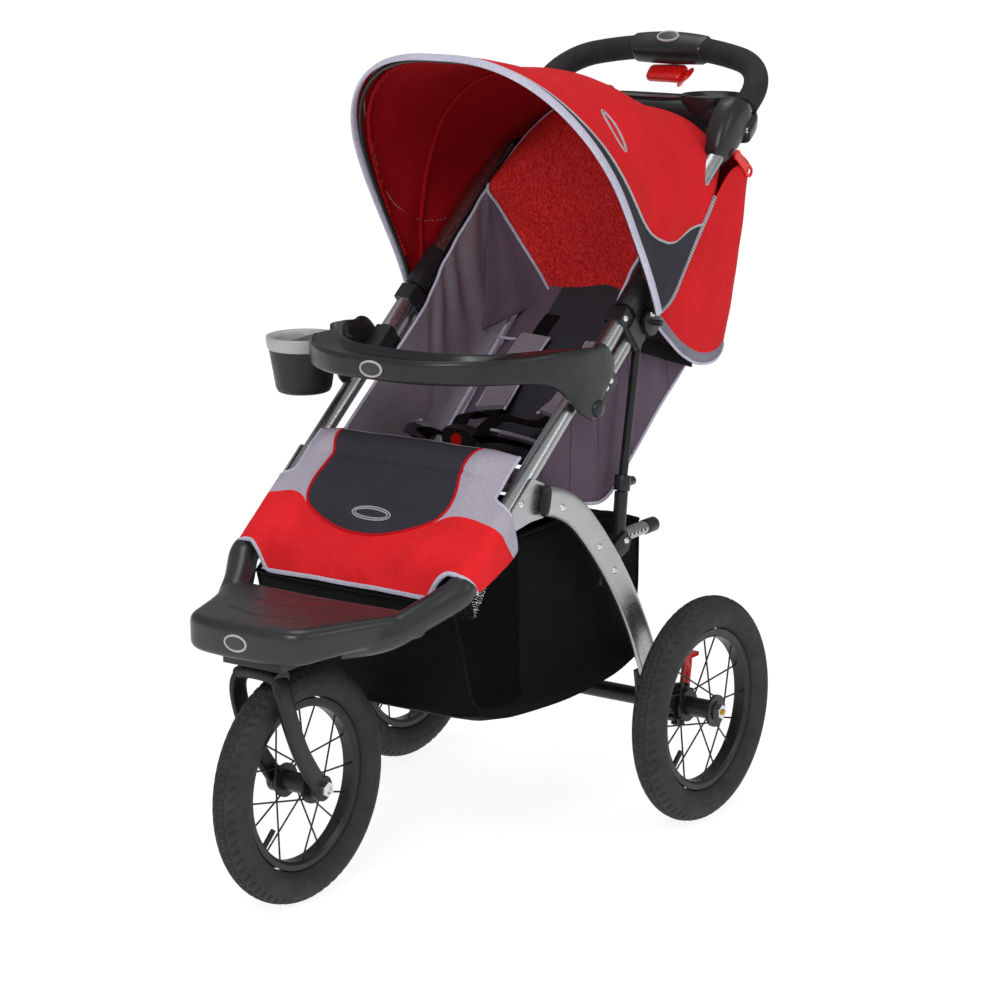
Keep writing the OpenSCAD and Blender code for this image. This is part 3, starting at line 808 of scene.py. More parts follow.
leg_height = curve_through([
    (-410, -8), (-398, 0), (-376, 13), (-345, 21), (-290, 26), (-240, 31), (-216, 37), (-200, 32),
    (-188, 20),
])
flap_drop = curve_through([(-396, 0), (-380, 8), (-340, 24), (-290, 34), (-262, 14), (-250, 0)])
red_line = curve_through([(0, -330), (95, -320), (120, -304), (150, -298), (178, -302), (230, -306)])
SHIELD = [
    (-112, -196), (-108, -216), (-103, -238), (-111, -272), (-110, -298), (-98, -318), (-68, -335),
    (-32, -346), (0, -349), (32, -346), (68, -335), (98, -318), (110, -298), (111, -272),
    (103, -238), (108, -216), (112, -196),
]


def leg_rest_point(u, s):
    """s runs from -1 to 1 across the pad and round the side tubes."""
    sign = 1 if s > 0 else -1
    wrap = 1 - ease(u, -292, -256)
    reach = mix(160, 172 + 15.6 * math.radians(115) + flap_drop(u), wrap)
    d = abs(s) * reach
    rho = 16.2
    if d <= 170:
        x = d
        crown = leg_height(u) + 2.5 * (1 - (d / 165) ** 2)
        v = mix(crown, rho, ease(d, 118, 170)) if u > -372 else mix(crown, rho + 3, ease(d, 128, 158))
    else:
        a = (d - 170) / rho
        turn = min(a, math.radians(112))
        x = TUBE_X + rho * math.sin(turn)
        v = rho * math.cos(turn) - (a - turn) * rho
        x -= max(a - turn, 0) * 0.9
    p = on_line(x, u, v)
    dent = wobble(p, 60, 11) * 2.2 * ease(170 - d, 0, 60) + wobble(p, 24, 12) * 0.5
    seam = -2.2 * math.exp(-(((u + 236) / 3.0) ** 2)) * ease(150 - d, 0, 40)
    return on_line(sign * x, u, v + dent + seam)


def make_leg_rest():
    rows, red_part, shield = [], [], []
    for i in range(61):
        row = []
        for j in range(101):
            s = 2 * j / 100 - 1
            x_guess = abs(s) * 205
            low_end = mix(-408, -383, ease(x_guess, 128, 156))
            u = mix(low_end, -189, i / 60)
            p = leg_rest_point(u, s)
            row.append(p)
            across = abs(p.x) if abs(p.x) < 185 else 190
            red_part.append(red_line(across) - u)
            shield.append(seam_distance((p.x, u), SHIELD, in_polygon((p.x, u), SHIELD)))
        rows.append(row)
    obj = cloth_piece("leg_rest_cloth", rows, [leg_cloth, mauve_cloth], "root", 3.0)
    paint(obj, "red_part", red_part)
    paint(obj, "shield", shield)
    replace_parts(obj, "leg_rest")
    trim = [tube("leg_rest_hem", rows[0], 3.4, binding, "root", 10, flat=0.75)]
    for sign, column in ((-1, 0), (1, -1)):
        side = [r[column] for r in rows[34:]]
        name = f"leg_rest_side_binding_{'left' if sign < 0 else 'right'}"
        trim.append(tube(name, side, 2.4, binding, "root", 8))
    outline = smooth_path([(x, u, 0) for x, u in SHIELD], 5)
    path = [on_line(q.x, q.y, leg_surface(q.x, q.y) + 1.4) for q in outline]
    trim.append(tube("leg_rest_red_piping", path, 2.1, red_piping, "root", 8))
    for k, (a, b) in enumerate(((30, 9.5), (26, 6.5))):
        ring = []
        for i in range(40):
            w = 2 * math.pi * i / 40
            x, u = a * math.cos(w) + 4, -318 + b * math.sin(w)
            ring.append(on_line(x, u, leg_surface(x, u) + 1.3))
        trim.append(tube(f"leg_rest_oval_{k}", ring, 1.1, piping_grey, "root", 6, closed=True))


def leg_surface(x, u):
    """How far the leg rest stands off the tubes' plane at a place."""
    base = leg_rest_point(u, 0.001)
    reach = 172 + 15.6 * math.radians(115) + flap_drop(u)
    wrap = 1 - ease(u, -292, -256)
    reach = mix(160, reach, wrap)
    p = leg_rest_point(u, x / reach)
    return (p.z - LINE[1]) * math.cos(SLOPE) - (p.y - LINE[0]) * math.sin(SLOPE) if base else 0


make_leg_rest()

# ---------- seat ----------


def cushion(name, outline, depth, place, materials, body, puff=9, rows=26, cols=40):
    """A crowned closed pad. outline(f) gives its half width from front to rear, and
    place(x, along, height) puts a point of it in the seat."""
    rings = []
    for i in range(rows + 1):
        f = i / rows
        half = outline(f) * (0.94 + 0.06 * math.sin(math.pi * f) ** 0.4)
        close = math.sin(math.pi * min(max(f, 0.012), 0.988)) ** 0.38
        ring = []
        for j in range(cols):
            a = 2 * math.pi * j / cols
            c, s = math.cos(a), math.sin(a)
            x = math.copysign(abs(c) ** 0.55, c) * half
            h = math.copysign(abs(s) ** 0.75, s)
            crown = 1 + puff / depth * (1 - (x / half) ** 2) if s > 0 else 1
            ring.append(place(x, f, h * depth / 2 * close * crown))
        rings.append(ring)
    return loft(name, rings, materials, body, sharp=None)


def back_place(x, f, h):
    a = math.radians(41)
    along = mix(8, 375, f)
    up = 14 + h
    y = 98 + along * math.cos(a) - up * math.sin(a)
    z = 458 + along * math.sin(a) + up * math.cos(a)
    p = Vector((x, y, z))
    channel = -2.6 * math.exp(-(((abs(x) - 66) / 3.2) ** 2)) if h > 0 else 0
    channel -= 2.6 * math.exp(-(((along - 215) / 3.5) ** 2)) if h > 0 else 0
    lift = channel + (wobble(p, 50, 14) * 2.0 if h > 0 else 0)
    return p + Vector((0, -math.sin(a), math.cos(a))) * lift


def base_place(x, f, h):
    y = mix(-117, 62, f)
    z = mix(511, 467, f) + h
    p = Vector((x, y, z))
    return p + Vector((0, 0, wobble(p, 48, 15) * 1.8 if h > 0 else 0))


def puffed(obj, cap, voxel=5.0):
    """Swells a pad with a cloth simulation, no point moving further than cap."""
    bpy.context.view_layer.objects.active = obj
    for other in bpy.context.selected_objects:
        other.select_set(False)
    obj.select_set(True)
    remesh = obj.modifiers.new("even", "REMESH")
    remesh.mode = "VOXEL"
    remesh.voxel_size = voxel * 0.001
    bpy.ops.object.modifier_apply(modifier="even")
    before = [v.co.copy() for v in obj.data.vertices]
    cloth = obj.modifiers.new("cloth", "CLOTH")
    cloth.settings.effector_weights.gravity = 0.0
    cloth.settings.use_pressure = True
    cloth.settings.uniform_pressure_force = 4.0
    cloth.settings.quality = 5
    cloth.point_cache.frame_start = 1
    cloth.point_cache.frame_end = 20
    for f in range(1, 21):
        bpy.context.scene.frame_set(f)
    bpy.ops.object.modifier_apply(modifier="cloth")
    bpy.context.scene.frame_set(1)
    for v, start in zip(obj.data.vertices, before):
        move = v.co - start
        if move.length > cap * 0.001:
            v.co = start + move.normalized() * cap * 0.001
    obj.data.shade_smooth()


def make_seat():
    back = cushion(
        "seat_back_pad", lambda f: mix(130, 132, f), 18, back_place, [back_cloth], "seat_back", 7, 44, 64,
    )
    puffed(back, 6)
    middle = [abs(v.co.x) * 1000 for v in back.data.vertices]
    paint(back, "middle", [66 - x for x in middle])
    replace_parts(back, "seat_back")
    base = cushion("seat_base_pad", lambda f: 138, 20, base_place, [base_cloth], "root", 7, 26, 56)
    puffed(base, 6)
    paint(base, "middle", [92 - abs(v.co.x) * 1000 for v in base.data.vertices])
    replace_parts(base, "seat_base")
    for sign, word in SIDES:
        line = [back_place(sign * 66, f / 20, 9 + 7) for f in range(1, 13)]
        cord = tube(f"seat_back_piping_{word}", line, 2.0, red_piping, "seat_back", 8)
        rim = [back_place(sign * 133, f / 20, 1) for f in range(1, 20)]
        tube(f"seat_back_edge_{word}", rim, 2.3, binding, "seat_back", 8)
        line = [base_place(sign * 92, f / 14, 15) for f in range(1, 13)]
        tube(f"seat_base_piping_{word}", line, 2.0, red_piping, "root", 8)
    line = [back_place(x, (215 - 8) / 367, 14.5) for x in range(-126, 127, 9)]
    tube("seat_back_cross_piping", line, 2.2, binding, "seat_back", 8)


base_cloth = cloth_finish("seat_base_canvas", [MAUVE_DEEP, CHARCOAL], ["middle"], creases=0.3)
make_seat()


# The head panel's side seams: (half width, y, z) from the back pad up to the canopy
HEAD_SIDE = [
    (84, 320, 668), (98, 312, 700), (122, 292, 752), (141, 270, 800), (149, 256, 828),
    (149, 300, 858),
]


def head_panel_point(x, t):
    """The red panel behind the child's head. x runs from -1 to 1, t from the pad upwards."""
    seam = smooth_path(HEAD_SIDE, 8)
    place = t * (len(seam) - 1)
    i = min(int(place), len(seam) - 2)
    side = seam[i].lerp(seam[i + 1], place - i)
    rise = ease(t, 0.5, 1.0) * 100 * (1 - abs(x) ** 2.2)
    behind = 26 * math.sin(math.pi * min(t, 0.86) / 0.86 * 0.5) * (1 - x * x)
    fold = wobble((x * 150, t * 240, 0), 75, 21) * 7 + math.sin(x * 7 + t * 5) * 2.2
    loose = math.sin(math.pi * t) ** 0.6 * (1 - abs(x) ** 6)
    return Vector((x * side.x, side.y + behind + fold * loose, side.z + rise))


def make_head_panel():
    rows = [[head_panel_point(j / 30 - 1, i / 40) for j in range(61)] for i in range(41)]
    obj = cloth_piece("head_panel", rows, [heather, heather], "root", 2.5)
    low = [p + Vector((0, -2, 0)) for p in rows[0]]
    trim = [
        tube("head_panel_binding", rows[-1], 2.6, binding, "root", 8),
        tube("head_panel_low_binding", low, 3.0, binding, "root", 8),
    ]
    for sign, word in SIDES:
        seam = [r[0 if sign < 0 else -1] + Vector((-sign, -3, 0)) for r in rows[:34]]
        trim.append(tube(f"head_panel_side_binding_{word}", seam, 4.2, binding, "root", 8, flat=0.6))
        trim.append(corner_sheet(sign, word, seam))
    lie_down(obj, *trim, keep=0.1)


def corner_sheet(sign, word, seam):
    """The mauve cloth between the head panel's side seam and the wing."""
    rows = []
    for i, inner in enumerate(seam):
        f = i / (len(seam) - 1)
        outer = Vector((sign * 146.5, mix(236, seam[-1].y, f), mix(628, seam[-1].z, f)))
        row = []
        for j in range(21):
            t = j / 20
            p = inner.lerp(outer, t)
            fold = math.sin(t * 9 + f * 3) * 5 + wobble(p, 40, 23) * 5
            p += Vector((0, fold * math.sin(math.pi * t) * (1 - f), 0))
            row.append(p)
        rows.append(row)
    return cloth_piece(f"head_corner_cloth_{word}", rows, [mauve_cloth, mauve_cloth], "root", 1.4)


make_head_panel()

# ---------- harness ----------


def ribbon(name, path, width, thick, material, body, up):
    return loft(name, sweep_rings(path, oval(width / 2, thick / 2, 6.0, 16), up), material, body, sharp=40)


def make_harness():
    a = math.radians(41)
    off_back = Vector((0, -math.sin(a), math.cos(a)))

    def shoulder(sign, word):
        x = sign * 52

        def at(along, up, dx=0.0):
            y = 98 + along * math.cos(a) - up * math.sin(a)
            z = 458 + along * math.sin(a) + up * math.cos(a)
            return Vector((x + sign * dx, y, z))

        points = [at(262, 24), at(255, 33), at(200, 36, 4), at(140, 37, 6), at(90, 44, 2), at(52, 62, -8)]
        points += [Vector((sign * 28, 34, 556)), Vector((sign * 20, 0, 543)), Vector((sign * 16, -18, 536))]
        strap = ribbon(f"shoulder_strap_{word}", smooth_path(points, 8), 24, 1.8, black_web, None, off_back)
        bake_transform(strap)
        pad_path = smooth_path(
            [at(214, 40, 2), at(180, 42, 4), at(140, 43, 6), at(104, 46, 4), at(74, 54, -2)], 8
        )
        pad = ribbon(f"shoulder_pad_{word}", pad_path, 46, 7, lit_mauve, "seat_back", off_back)
        for k, edge in enumerate((-1, 1)):
            rim = [p + Vector((edge * 23, 0, 0)) for p in pad_path]
            tube(f"shoulder_pad_trim_{word}_{k}", rim, 2.0, binding, "seat_back", 8)
        return strap

    straps = both_sides(shoulder)
    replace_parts(straps[0], "shoulder_straps")

    def waist(sign, word):
        points = [
            (sign * 128, 66, 486), (sign * 116, 44, 508), (sign * 84, 14, 528), (sign * 50, -12, 538),
            (sign * 24, -20, 536),
        ]
        route = smooth_path(points, 10)
        strap = ribbon(f"waist_strap_{word}", route, 24, 1.8, black_web, "root", Vector((0, 0.6, 0.8)))
        pad_path = smooth_path([(sign * 112, 36, 516), (sign * 84, 10, 534), (sign * 56, -12, 543)], 10)
        pad = ribbon(f"waist_pad_{word}", pad_path, 44, 6, lit_mauve, "root", Vector((0, 0.55, 0.83)))
        for k, edge in enumerate((-1, 1)):
            shift = Vector((0, -0.83, 0.55)) * edge * 22
            rim = [p + shift for p in pad_path]
            tube(f"waist_pad_trim_{word}_{k}", rim, 2.0, binding, "root", 8)

    both_sides(waist)
    crotch = ribbon(
        "crotch_web", smooth_path([(0, -8, 492), (0, -13, 505), (0, -17, 520), (0, -19, 528)], 6), 30, 2.4,
        black_web, "root", Vector((0, -1, 0.2)),
    )
    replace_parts(crotch, "crotch_strap")
    rings = []
    shell = (
        (-28.6, 21, 12), (-29, 24, 15), (-26, 26, 17), (-14, 26.4, 17.4), (-11.4, 24, 15.4), (-11, 20, 12),
    )
    for y, w, h in shell:
        rings.append([Vector((a, y, 535 + b)) for a, b in oval(w, h, 3.4, 32)])
    buckle = loft("buckle_shell", rings, black_plastic, "root", 35)
    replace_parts(buckle, "harness_buckle")

    def recline(sign, word):
        points = [
            (sign * 163, 162, 648), (sign * 165, 190, 640), (sign * 164, 240, 624), (sign * 160, 300, 606),
        ]
        route = smooth_path(points, 8)
        strap = ribbon(f"recline_strap_{word}", route, 20, 1.8, black_web, "root", Vector((sign, 0, 0)))
        return strap

    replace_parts(both_sides(recline)[0], "recline_straps")


make_harness()

# ---------- basket ----------

BASKET_RIM = [(-256, 384), (-212, 416), (-160, 438), (-60, 443), (20, 442), (90, 433), (170, 408)]
BASKET_FLOOR = [(-207, 222), (-178, 210), (-130, 201), (-20, 194), (60, 197), (110, 203), (158, 217)]


def basket_row(t, rim, floor):
    """One line of the basket from front to rear: t goes down the left side and up the right."""
    if t < 0.38:
        w, x = t / 0.38, -155.5
    elif t > 0.62:
        w, x = (1 - t) / 0.38, 155.5
    else:
        w, x = 1.0, mix(-155.5, 155.5, (t - 0.38) / 0.24)
    corner = ease(abs(x), 120, 156) * ease(w, 0.72, 1.0)
    row = []
    for j, (top, low) in enumerate(zip(rim, floor)):
        p = top.lerp(low, w)
        sag = (1 - (x / 156) ** 2) * 6 * math.sin(math.pi * j / (len(rim) - 1)) if w == 1.0 else 0
        bulge = math.sin(math.pi * w) * 1.6
        bulge += min(wobble((x, p.y, p.z), 44, 31) * 3.0 * math.sin(math.pi * w) ** 0.6, 0.8)
        out = bulge * (w < 1.0) - corner * 10
        row.append(Vector((x + math.copysign(out, x), p.y, p.z + corner * 6 - sag)))
    return row


def make_basket():
    rim = smooth_path([(0, y, z) for y, z in BASKET_RIM], 10)
    floor = smooth_path([(0, y, z) for y, z in BASKET_FLOOR], 10)
    rows = [basket_row(i / 40, rim, floor) for i in range(41)]
    net = []
    for i, row in enumerate(rows):
        solid = 14 <= i <= 26
        net += [-10 if solid or j < 2 else -112 - p.y for j, p in enumerate(row)]
    obj = cloth_piece("basket_cloth", rows, [basket_net, basket_net], "root", 0.8)
    paint(obj, "net", net)
    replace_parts(obj, "basket")
    trim = [
        tube("basket_rim_left", rows[0], 3.0, black_web, "root", 8),
        tube("basket_rim_right", rows[-1], 3.0, black_web, "root", 8),
    ]
    for word, column, bulge in (("front", 0, -7), ("rear", -1, 7)):
        arch = [r[column] for r in rows]
        panel = basket_end(arch, bulge)
        end = cloth_piece(f"basket_{word}_panel", panel, [basket_net, basket_net], "root", 1.2)
        see_through = [end_gap(p, word) for line in panel for p in line]
        paint(end, "net", see_through)
        band = [line[0] for line in panel]
        trim.append(tube(f"basket_{word}_band", band, 5.0, black_web, "root", 8, flat=0.6))
        trim.append(tube(f"basket_{word}_seam", arch, 2.2, black_web, "root", 8))


def basket_end(arch, bulge):
    """A closing panel between the two halves of an arch, bowed out by bulge."""
    panel = []
    for i in range(21):
        t = i / 20
        line = []
        for a, b in zip(arch[:21], reversed(arch[20:])):
            p = a.lerp(b, t)
            depth = math.sin(math.pi * t)
            p.y += bulge * depth * ease(abs(a.x - b.x), 60, 200) + wobble(p, 50, 33) * 3 * depth
            line.append(p)
        panel.append(line)
    return panel


def end_gap(p, word):
    """How far a place on an end panel is inside its netted side strips."""
    if word == "front":
        return -10
    strip = mix(114, 72, ease(p.z, 200, 350))
    return min(abs(p.x) - strip, p.z - 225, 400 - p.z)


# ---------- metal frame ----------


def turn_right(heading):
    a = math.radians(heading)
    return math.sin(a), -math.cos(a)


def rear_leg_path():
    """The rear leg's centre line: a tight bend, then a long gentle one, both turning down."""
    headings = (-12, -44, -70)
    radii = (170, 700)
    y, z = -105.0, 492.0
    path = []
    for radius, start, end in zip(radii, headings, headings[1:]):
        cy, cz = y + radius * turn_right(start)[0], z + radius * turn_right(start)[1]
        for i in range(25):
            h = mix(start, end, i / 24)
            py, pz = cy - radius * turn_right(h)[0], cz - radius * turn_right(h)[1]
            if i or not path:
                path.append((py, pz))
        y, z = path[-1]
    return path


def make_rear_legs():
    for sign, word in SIDES:
        path = [Vector((sign * 195.5, y, z)) for y, z in rear_leg_path()]
        rings = sweep_rings(path, oval(20, 7.5, 2.9, 32), Vector((1, 0, 0)))
        leg = loft(f"rear_leg_{word}", rings, aluminium, "root", 60)
        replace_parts(leg, "rear_legs")
        end = loft(f"rear_leg_plug_{word}", [
            [path[0] + (q - path[0]) * k + (path[0] - path[2]).normalized() * d for q in rings[0]]
            for k, d in ((1.01, -0.5), (1.01, 1.5), (0.9, 3.5), (0.5, 4.5))
        ], black_plastic, "root", 40)


RIVETS = [
    (-23, 0, 185), (-9, -32, 185), (-22, -32, 185), (66, 6, 185), (-249, 0, 187.9),
]
SIDE_RIVETS = [(6, 410, 203), (41, 371, 203), (-78, 479, 203), (93, 398, 187.9), (146, 695, 194)]


def make_rivets():
    places = []
    for u, v, x in RIVETS:
        p = on_line(x, u, v)
        places.append((x, p.y, p.z))
    places += [(x, y, z) for y, z, x in SIDE_RIVETS]
    dome = [(0.01, 2.9), (1.6, 2.75), (3.0, 2.2), (4.2, 1.2), (4.9, 0.35), (5.0, 0.0), (5.0, -0.6)]
    made = []
    for sign, word in SIDES:
        for k, (x, y, z) in enumerate(places):
            profile = [(r, sign * h) for r, h in dome]
            head = lathe(f"rivet_{word}_{k}", profile, (sign * x, y, z), zinc, "root", "x", 24)
            made.append(head)
    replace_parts(made[0], "frame_rivets")


def soften(node, width_mm, segments=3, angle=30):
    """Rounds a CAD node's edges without touching its mesh."""
    obj = NODES[node]
    weld = obj.modifiers.new("weld", "WELD")
    weld.merge_threshold = 0.00001
    bevel = obj.modifiers.new("soft_edges", "BEVEL")
    bevel.width = width_mm * 0.001
    bevel.segments = segments
    bevel.limit_method = "ANGLE"
    bevel.angle_limit = math.radians(angle)
    bevel.harden_normals = True
    obj.data.shade_smooth()


def finish_nodes():
    finishes = {
        aluminium: ["lower_side_tubes", "link_bars", "handle_tube", "leg_gussets", "basket_side_bars"],
        zinc: ["rear_axles", "front_axle", "swivel_lock"],
        black_steel: ["rear_axle_tube", "axle_brackets", "strut_rods", "strut_brackets", "hinge_pins"],
        black_plastic: [
            "swivel_housing", "lower_hinge_brackets", "upper_hinge_plates", "strut_sleeves", "strut_collars",
            "basket_bar_caps", "handle_sleeves", "front_rim", "rear_rim_left", "rear_rim_right",
            "front_spoked_hub", "rear_spoked_hub_left", "rear_spoked_hub_right",
        ],
        foam: ["handle_grips"],
        red_plastic: ["storage_hook", "brake_lever_left", "brake_lever_right", "buckle_button"],
    }
    for material, nodes in finishes.items():
        for name in nodes:
            data = NODES[name].data
            data.materials.clear()
            data.materials.append(material)
            for face in data.polygons:
                face.material_index = 0
    for name, width in {
        "lower_hinge_brackets": 3.0, "upper_hinge_plates": 2.0, "leg_gussets": 0.8, "axle_brackets": 1.0,
        "strut_brackets": 0.8, "swivel_housing": 5.0,
        "storage_hook": 0.7, "brake_lever_left": 1.5, "brake_lever_right": 1.5, "hinge_pins": 1.0,
        "basket_bar_caps": 1.5, "strut_collars": 1.0, "handle_sleeves": 1.0,
    }.items():
        soften(name, width)


# ---------- wheels ----------


def tyre_point(around, across, centre):
    """around turns round the axle, across goes round the tyre's section; both in radians."""
    pitch = 2 * math.pi / 66
    width = math.degrees(across)
    cut = 0.0
    phase = (around / pitch) % 1.0
    side = abs(width)
    if side < 58:
        ridge = abs((phase + side * 0.012) % 1.0 - 0.5)
        lug = ease(ridge, 0.30, 0.40) * ease(side, 24, 30) * (1 - ease(side, 50, 56))
        groove = 1 - ease(abs(side - 13 - 3.5 * math.sin(phase * 2 * math.pi)), 2.0, 4.6)
        dash = ease(abs((phase * 2) % 1.0 - 0.5), 0.34, 0.44) * (1 - ease(side, 6, 9))
        cut = 2.6 * max(lug, groove, dash * 0.8)
    rib = 0.6 * (1 - ease(abs(side - 92), 1.5, 3.5)) + 0.5 * (1 - ease(abs(side - 118), 1.5, 3.0))
    r = TYRE_R - cut + rib - 0.7
    out = WHEEL_R - TYRE_R + r * math.cos(across)
    return Vector((
        centre[0] + r * math.sin(across),
        centre[1] + out * math.cos(around),
        AXLE_Z + out * math.sin(around),
    ))


def make_tyre(name, node, body, x, y):
    steps = [math.radians(a) for a in range(-148, 149, 4)]
    rings = []
    for i in range(528):
        around = 2 * math.pi * i / 528
        ring = [tyre_point(around, a, (x, y)) for a in steps]
        rings.append(ring)
    tyre = loft(name, rings, tyre_rubber, body, sharp=None, closed_path=True)
    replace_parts(tyre, node)


def make_wheels():
    make_tyre("front_tyre_treaded", "front_tyre", "front_wheel", 0, FRONT_Y)
    for sign, word in SIDES:
        x, y = sign * REAR_WHEEL[0], REAR_WHEEL[1]
        make_tyre(f"rear_tyre_treaded_{word}", f"rear_tyre_{word}", f"rear_wheel_{word}", x, y)
        cap = lathe(
            f"axle_end_{word}",
            [(0.01, sign * 3.2), (2.6, sign * 3), (3.9, sign * 2), (4.2, 0), (4.2, -sign * 3)],
            (sign * 284, y, AXLE_Z), brass, "root", "x", 24,
        )


# ---------- fork ----------


def make_fork():
    leg = smooth_path([
        (20, -437, 318), (31, -440, 309), (36.5, -440, 290), (38, -429, 252), (37.5, -409, 208),
        (36, -380, 166), (35.5, -374, 155),
    ], 8)
    for sign, word in SIDES:
        path = [Vector((sign * p.x, p.y, p.z)) for p in leg]
        n = len(path)
        sections = [oval(mix(15, 12.5, i / (n - 1)), 5.2, 3.2, 24) for i in range(n)]
        rings = sweep_rings(path, sections, Vector((1, 0, 0.1)))
        blade = loft(f"fork_blade_{word}", rings, black_steel, "fork", 50)
        boss = lathe(
            f"fork_boss_{word}", [(15.5, -5.4), (16.5, -4.4), (16.5, 4.4), (15.5, 5.4), (8, 5.4)],
            (sign * 35.5, FRONT_Y, AXLE_Z), black_steel, "fork", "x", 40,
        )
    rings = []
    for i in range(25):
        t = i / 24
        x = mix(-33, 33, t)
        rise = 6 * (1 - (x / 34) ** 2)
        section = oval(18 - 3 * abs(x) / 33, 8.5, 3.2, 28)
        rings.append([Vector((x, -438.5 + a, 312 + rise + b)) for a, b in section])
    crown = loft("fork_crown", rings, black_steel, "fork", 50)
    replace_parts(crown, "front_fork")
    neck = lathe(
        "fork_neck", [(12, 318), (19, 318), (19, 322), (15, 323.4), (15, 325), (8, 325)], (0, -430.5, 0),
        black_plastic, "fork", "z",
    )
    lock = lathe(
        "lock_cap", [(0.01, 348), (4.5, 348), (6.5, 347), (7, 345), (7, 341), (6.2, 340.5)],
        (0, -448.5, 22), black_plastic, "swivel_lock", "z", 24,
    )


# ---------- footrest ----------

# Half of the deck's outline seen from above, from the middle of its front round to the rear
DECK = [
    (0, -485), (40, -484), (72, -478), (90, -464), (102, -436), (122, -384), (146, -334),
    (150, -312), (0, -312),
]
# Each groove in the deck as the middle of its circle, its radius and where it starts and ends
GROOVES = (((-4, -318), 116, -62, 60), ((-14, -248), 132, -72, 64), ((-16, -208), 130, -86, 82))


def deck_finish():
    """Moulded black plastic with three thin curved grooves pressed into it."""
    made = Finish("footrest_plastic", 0.33)
    axes = made.node("ShaderNodeSeparateXYZ")
    made.link(made.place, axes.inputs[0])
    x, y, z = axes.outputs
    cut = 0.0
    for (cx, cy), radius, start, end in GROOVES:
        dx = made.math("SUBTRACT", x, cx * 0.001)
        dy = made.math("SUBTRACT", y, cy * 0.001)
        squares = made.math("MULTIPLY_ADD", dx, dx, made.math("MULTIPLY", dy, dy))
        away = made.math("ABSOLUTE", made.math("SUBTRACT", made.math("SQRT", squares), radius * 0.001))
        line = made.ramp(away, 0.0018, 0.0030, 1.0, 0.0)
        inside = made.math("MULTIPLY", made.ramp(x, (start - 2) * 0.001, (start + 2) * 0.001),
                           made.ramp(x, (end - 2) * 0.001, (end + 2) * 0.001, 1.0, 0.0))
        front = made.ramp(dy, -0.002, 0.0, 1.0, 0.0)
        cut = made.math("MAXIMUM", cut, made.math("MULTIPLY", line, made.math("MULTIPLY", inside, front)))
    top = made.ramp(z, 0.380, 0.383)
    cut = made.math("MULTIPLY", cut, top)
    # The grooves are painted near black as well as bumped: painted shade in them.
    made.colour(made.blend(cut, made.shaded(rgb(33, 34, 36), 0.85, 1.12, 18), rgb(6, 6, 7)))
    made.bump(made.math("SUBTRACT", 1.0, cut), 0.8, 1.2)
    made.rough(made.ramp(made.noise(46, 4.0), 0.3, 0.7, 0.28, 0.42))
    made.bump(made.noise(1500, 2.0), 0.08, 0.12)
    return made.material


def deck_ring(outline, inset, front_z, rear_z):
    """The deck's outline drawn in by inset, on a plane that slopes from front to rear."""
    ring = []
    for p in outline:
        out = Vector((p.x, p.y + 392, 0))
        q = p - out.normalized() * min(inset, out.length)
        ring.append(Vector((q.x, q.y, mix(front_z, rear_z, (q.y + 485) / 173))))
    return ring


def make_footrest():
    """The deck and its two tube sleeves, melted into one smooth moulding."""
    half = [(x, y, 0) for x, y in DECK]
    mirrored = [(-x, y, 0) for x, y in reversed(DECK[1:-1])]
    outline = smooth_path(half + mirrored, 6, closed=True)
    levels = [
        (12, 341, 356), (4, 342, 357), (0, 347, 361), (0, 378, 379), (2, 383, 382), (7, 387, 385),
        (14, 388, 386),
    ]
    rings = [deck_ring(outline, *level) for level in levels]
    points, faces = grid(rings, closed=True)
    n = len(outline)
    faces += [tuple(reversed(range(n))), tuple(range(len(points) - n, len(points)))]
    inside_deck = [(150, -300, 382), (124, -348, 361), (80, -385, 352)]
    for sign in (-1, 1):
        path = smooth_path([on_line(172, -384), on_line(172, -398)] + inside_deck, 8)
        sleeve = sweep_rings([Vector((sign * p.x, p.y, p.z)) for p in path], oval(19.5, 19.5, 2.0, 32))
        more, quads = grid(sleeve, closed=True)
        ends = [tuple(reversed(range(32))), tuple(range(len(more) - 32, len(more)))]
        base = len(points)
        points += more
        faces += [tuple(base + k for k in face) for face in quads + ends]
    deck = mesh_piece("footrest_deck", points, faces, deck_finish(), "root")
    melt = deck.modifiers.new("melt", "REMESH")
    melt.mode = "VOXEL"
    melt.voxel_size = 0.0022
    melt.use_smooth_shade = True
    smooth = deck.modifiers.new("smooth", "SMOOTH")
    smooth.factor = 0.6
    smooth.iterations = 10
    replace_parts(deck, "footrest")


def badge(name, node, centre, right, up, body):
    """A plain oval badge: a bright raised rim round a dark face."""
    right, up = Vector(right).normalized(), Vector(up).normalized()
    out = right.cross(up)
    parts = (
        (
            "rim", silver_plastic, "silver_plastic",
            ((3.0, -1.8), (3.0, 0.0), (2.2, 0.8), (0.6, 0.7), (0.0, -0.2)),
        ),
        ("face", badge_dark, "black_plastic", ((0.6, -0.9), (0.6, 0.1), (-1.0, 0.4))),
    )
    for word, material, slot, levels in parts:
        rings = []
        for grow, lift in levels:
            section = oval(15 + grow, 8 + grow, 2.0, 48)
            rings.append([Vector(centre) + right * a + up * b + out * lift for a, b in section])
        piece = loft(f"{name}_{word}", rings, material, body, 40)
        if word == "rim":
            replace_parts(piece, node)


badge_dark = plastic_finish("badge_dark_face", rgb(58, 58, 62), 0.35, 0.05)


# ---------- trays ----------


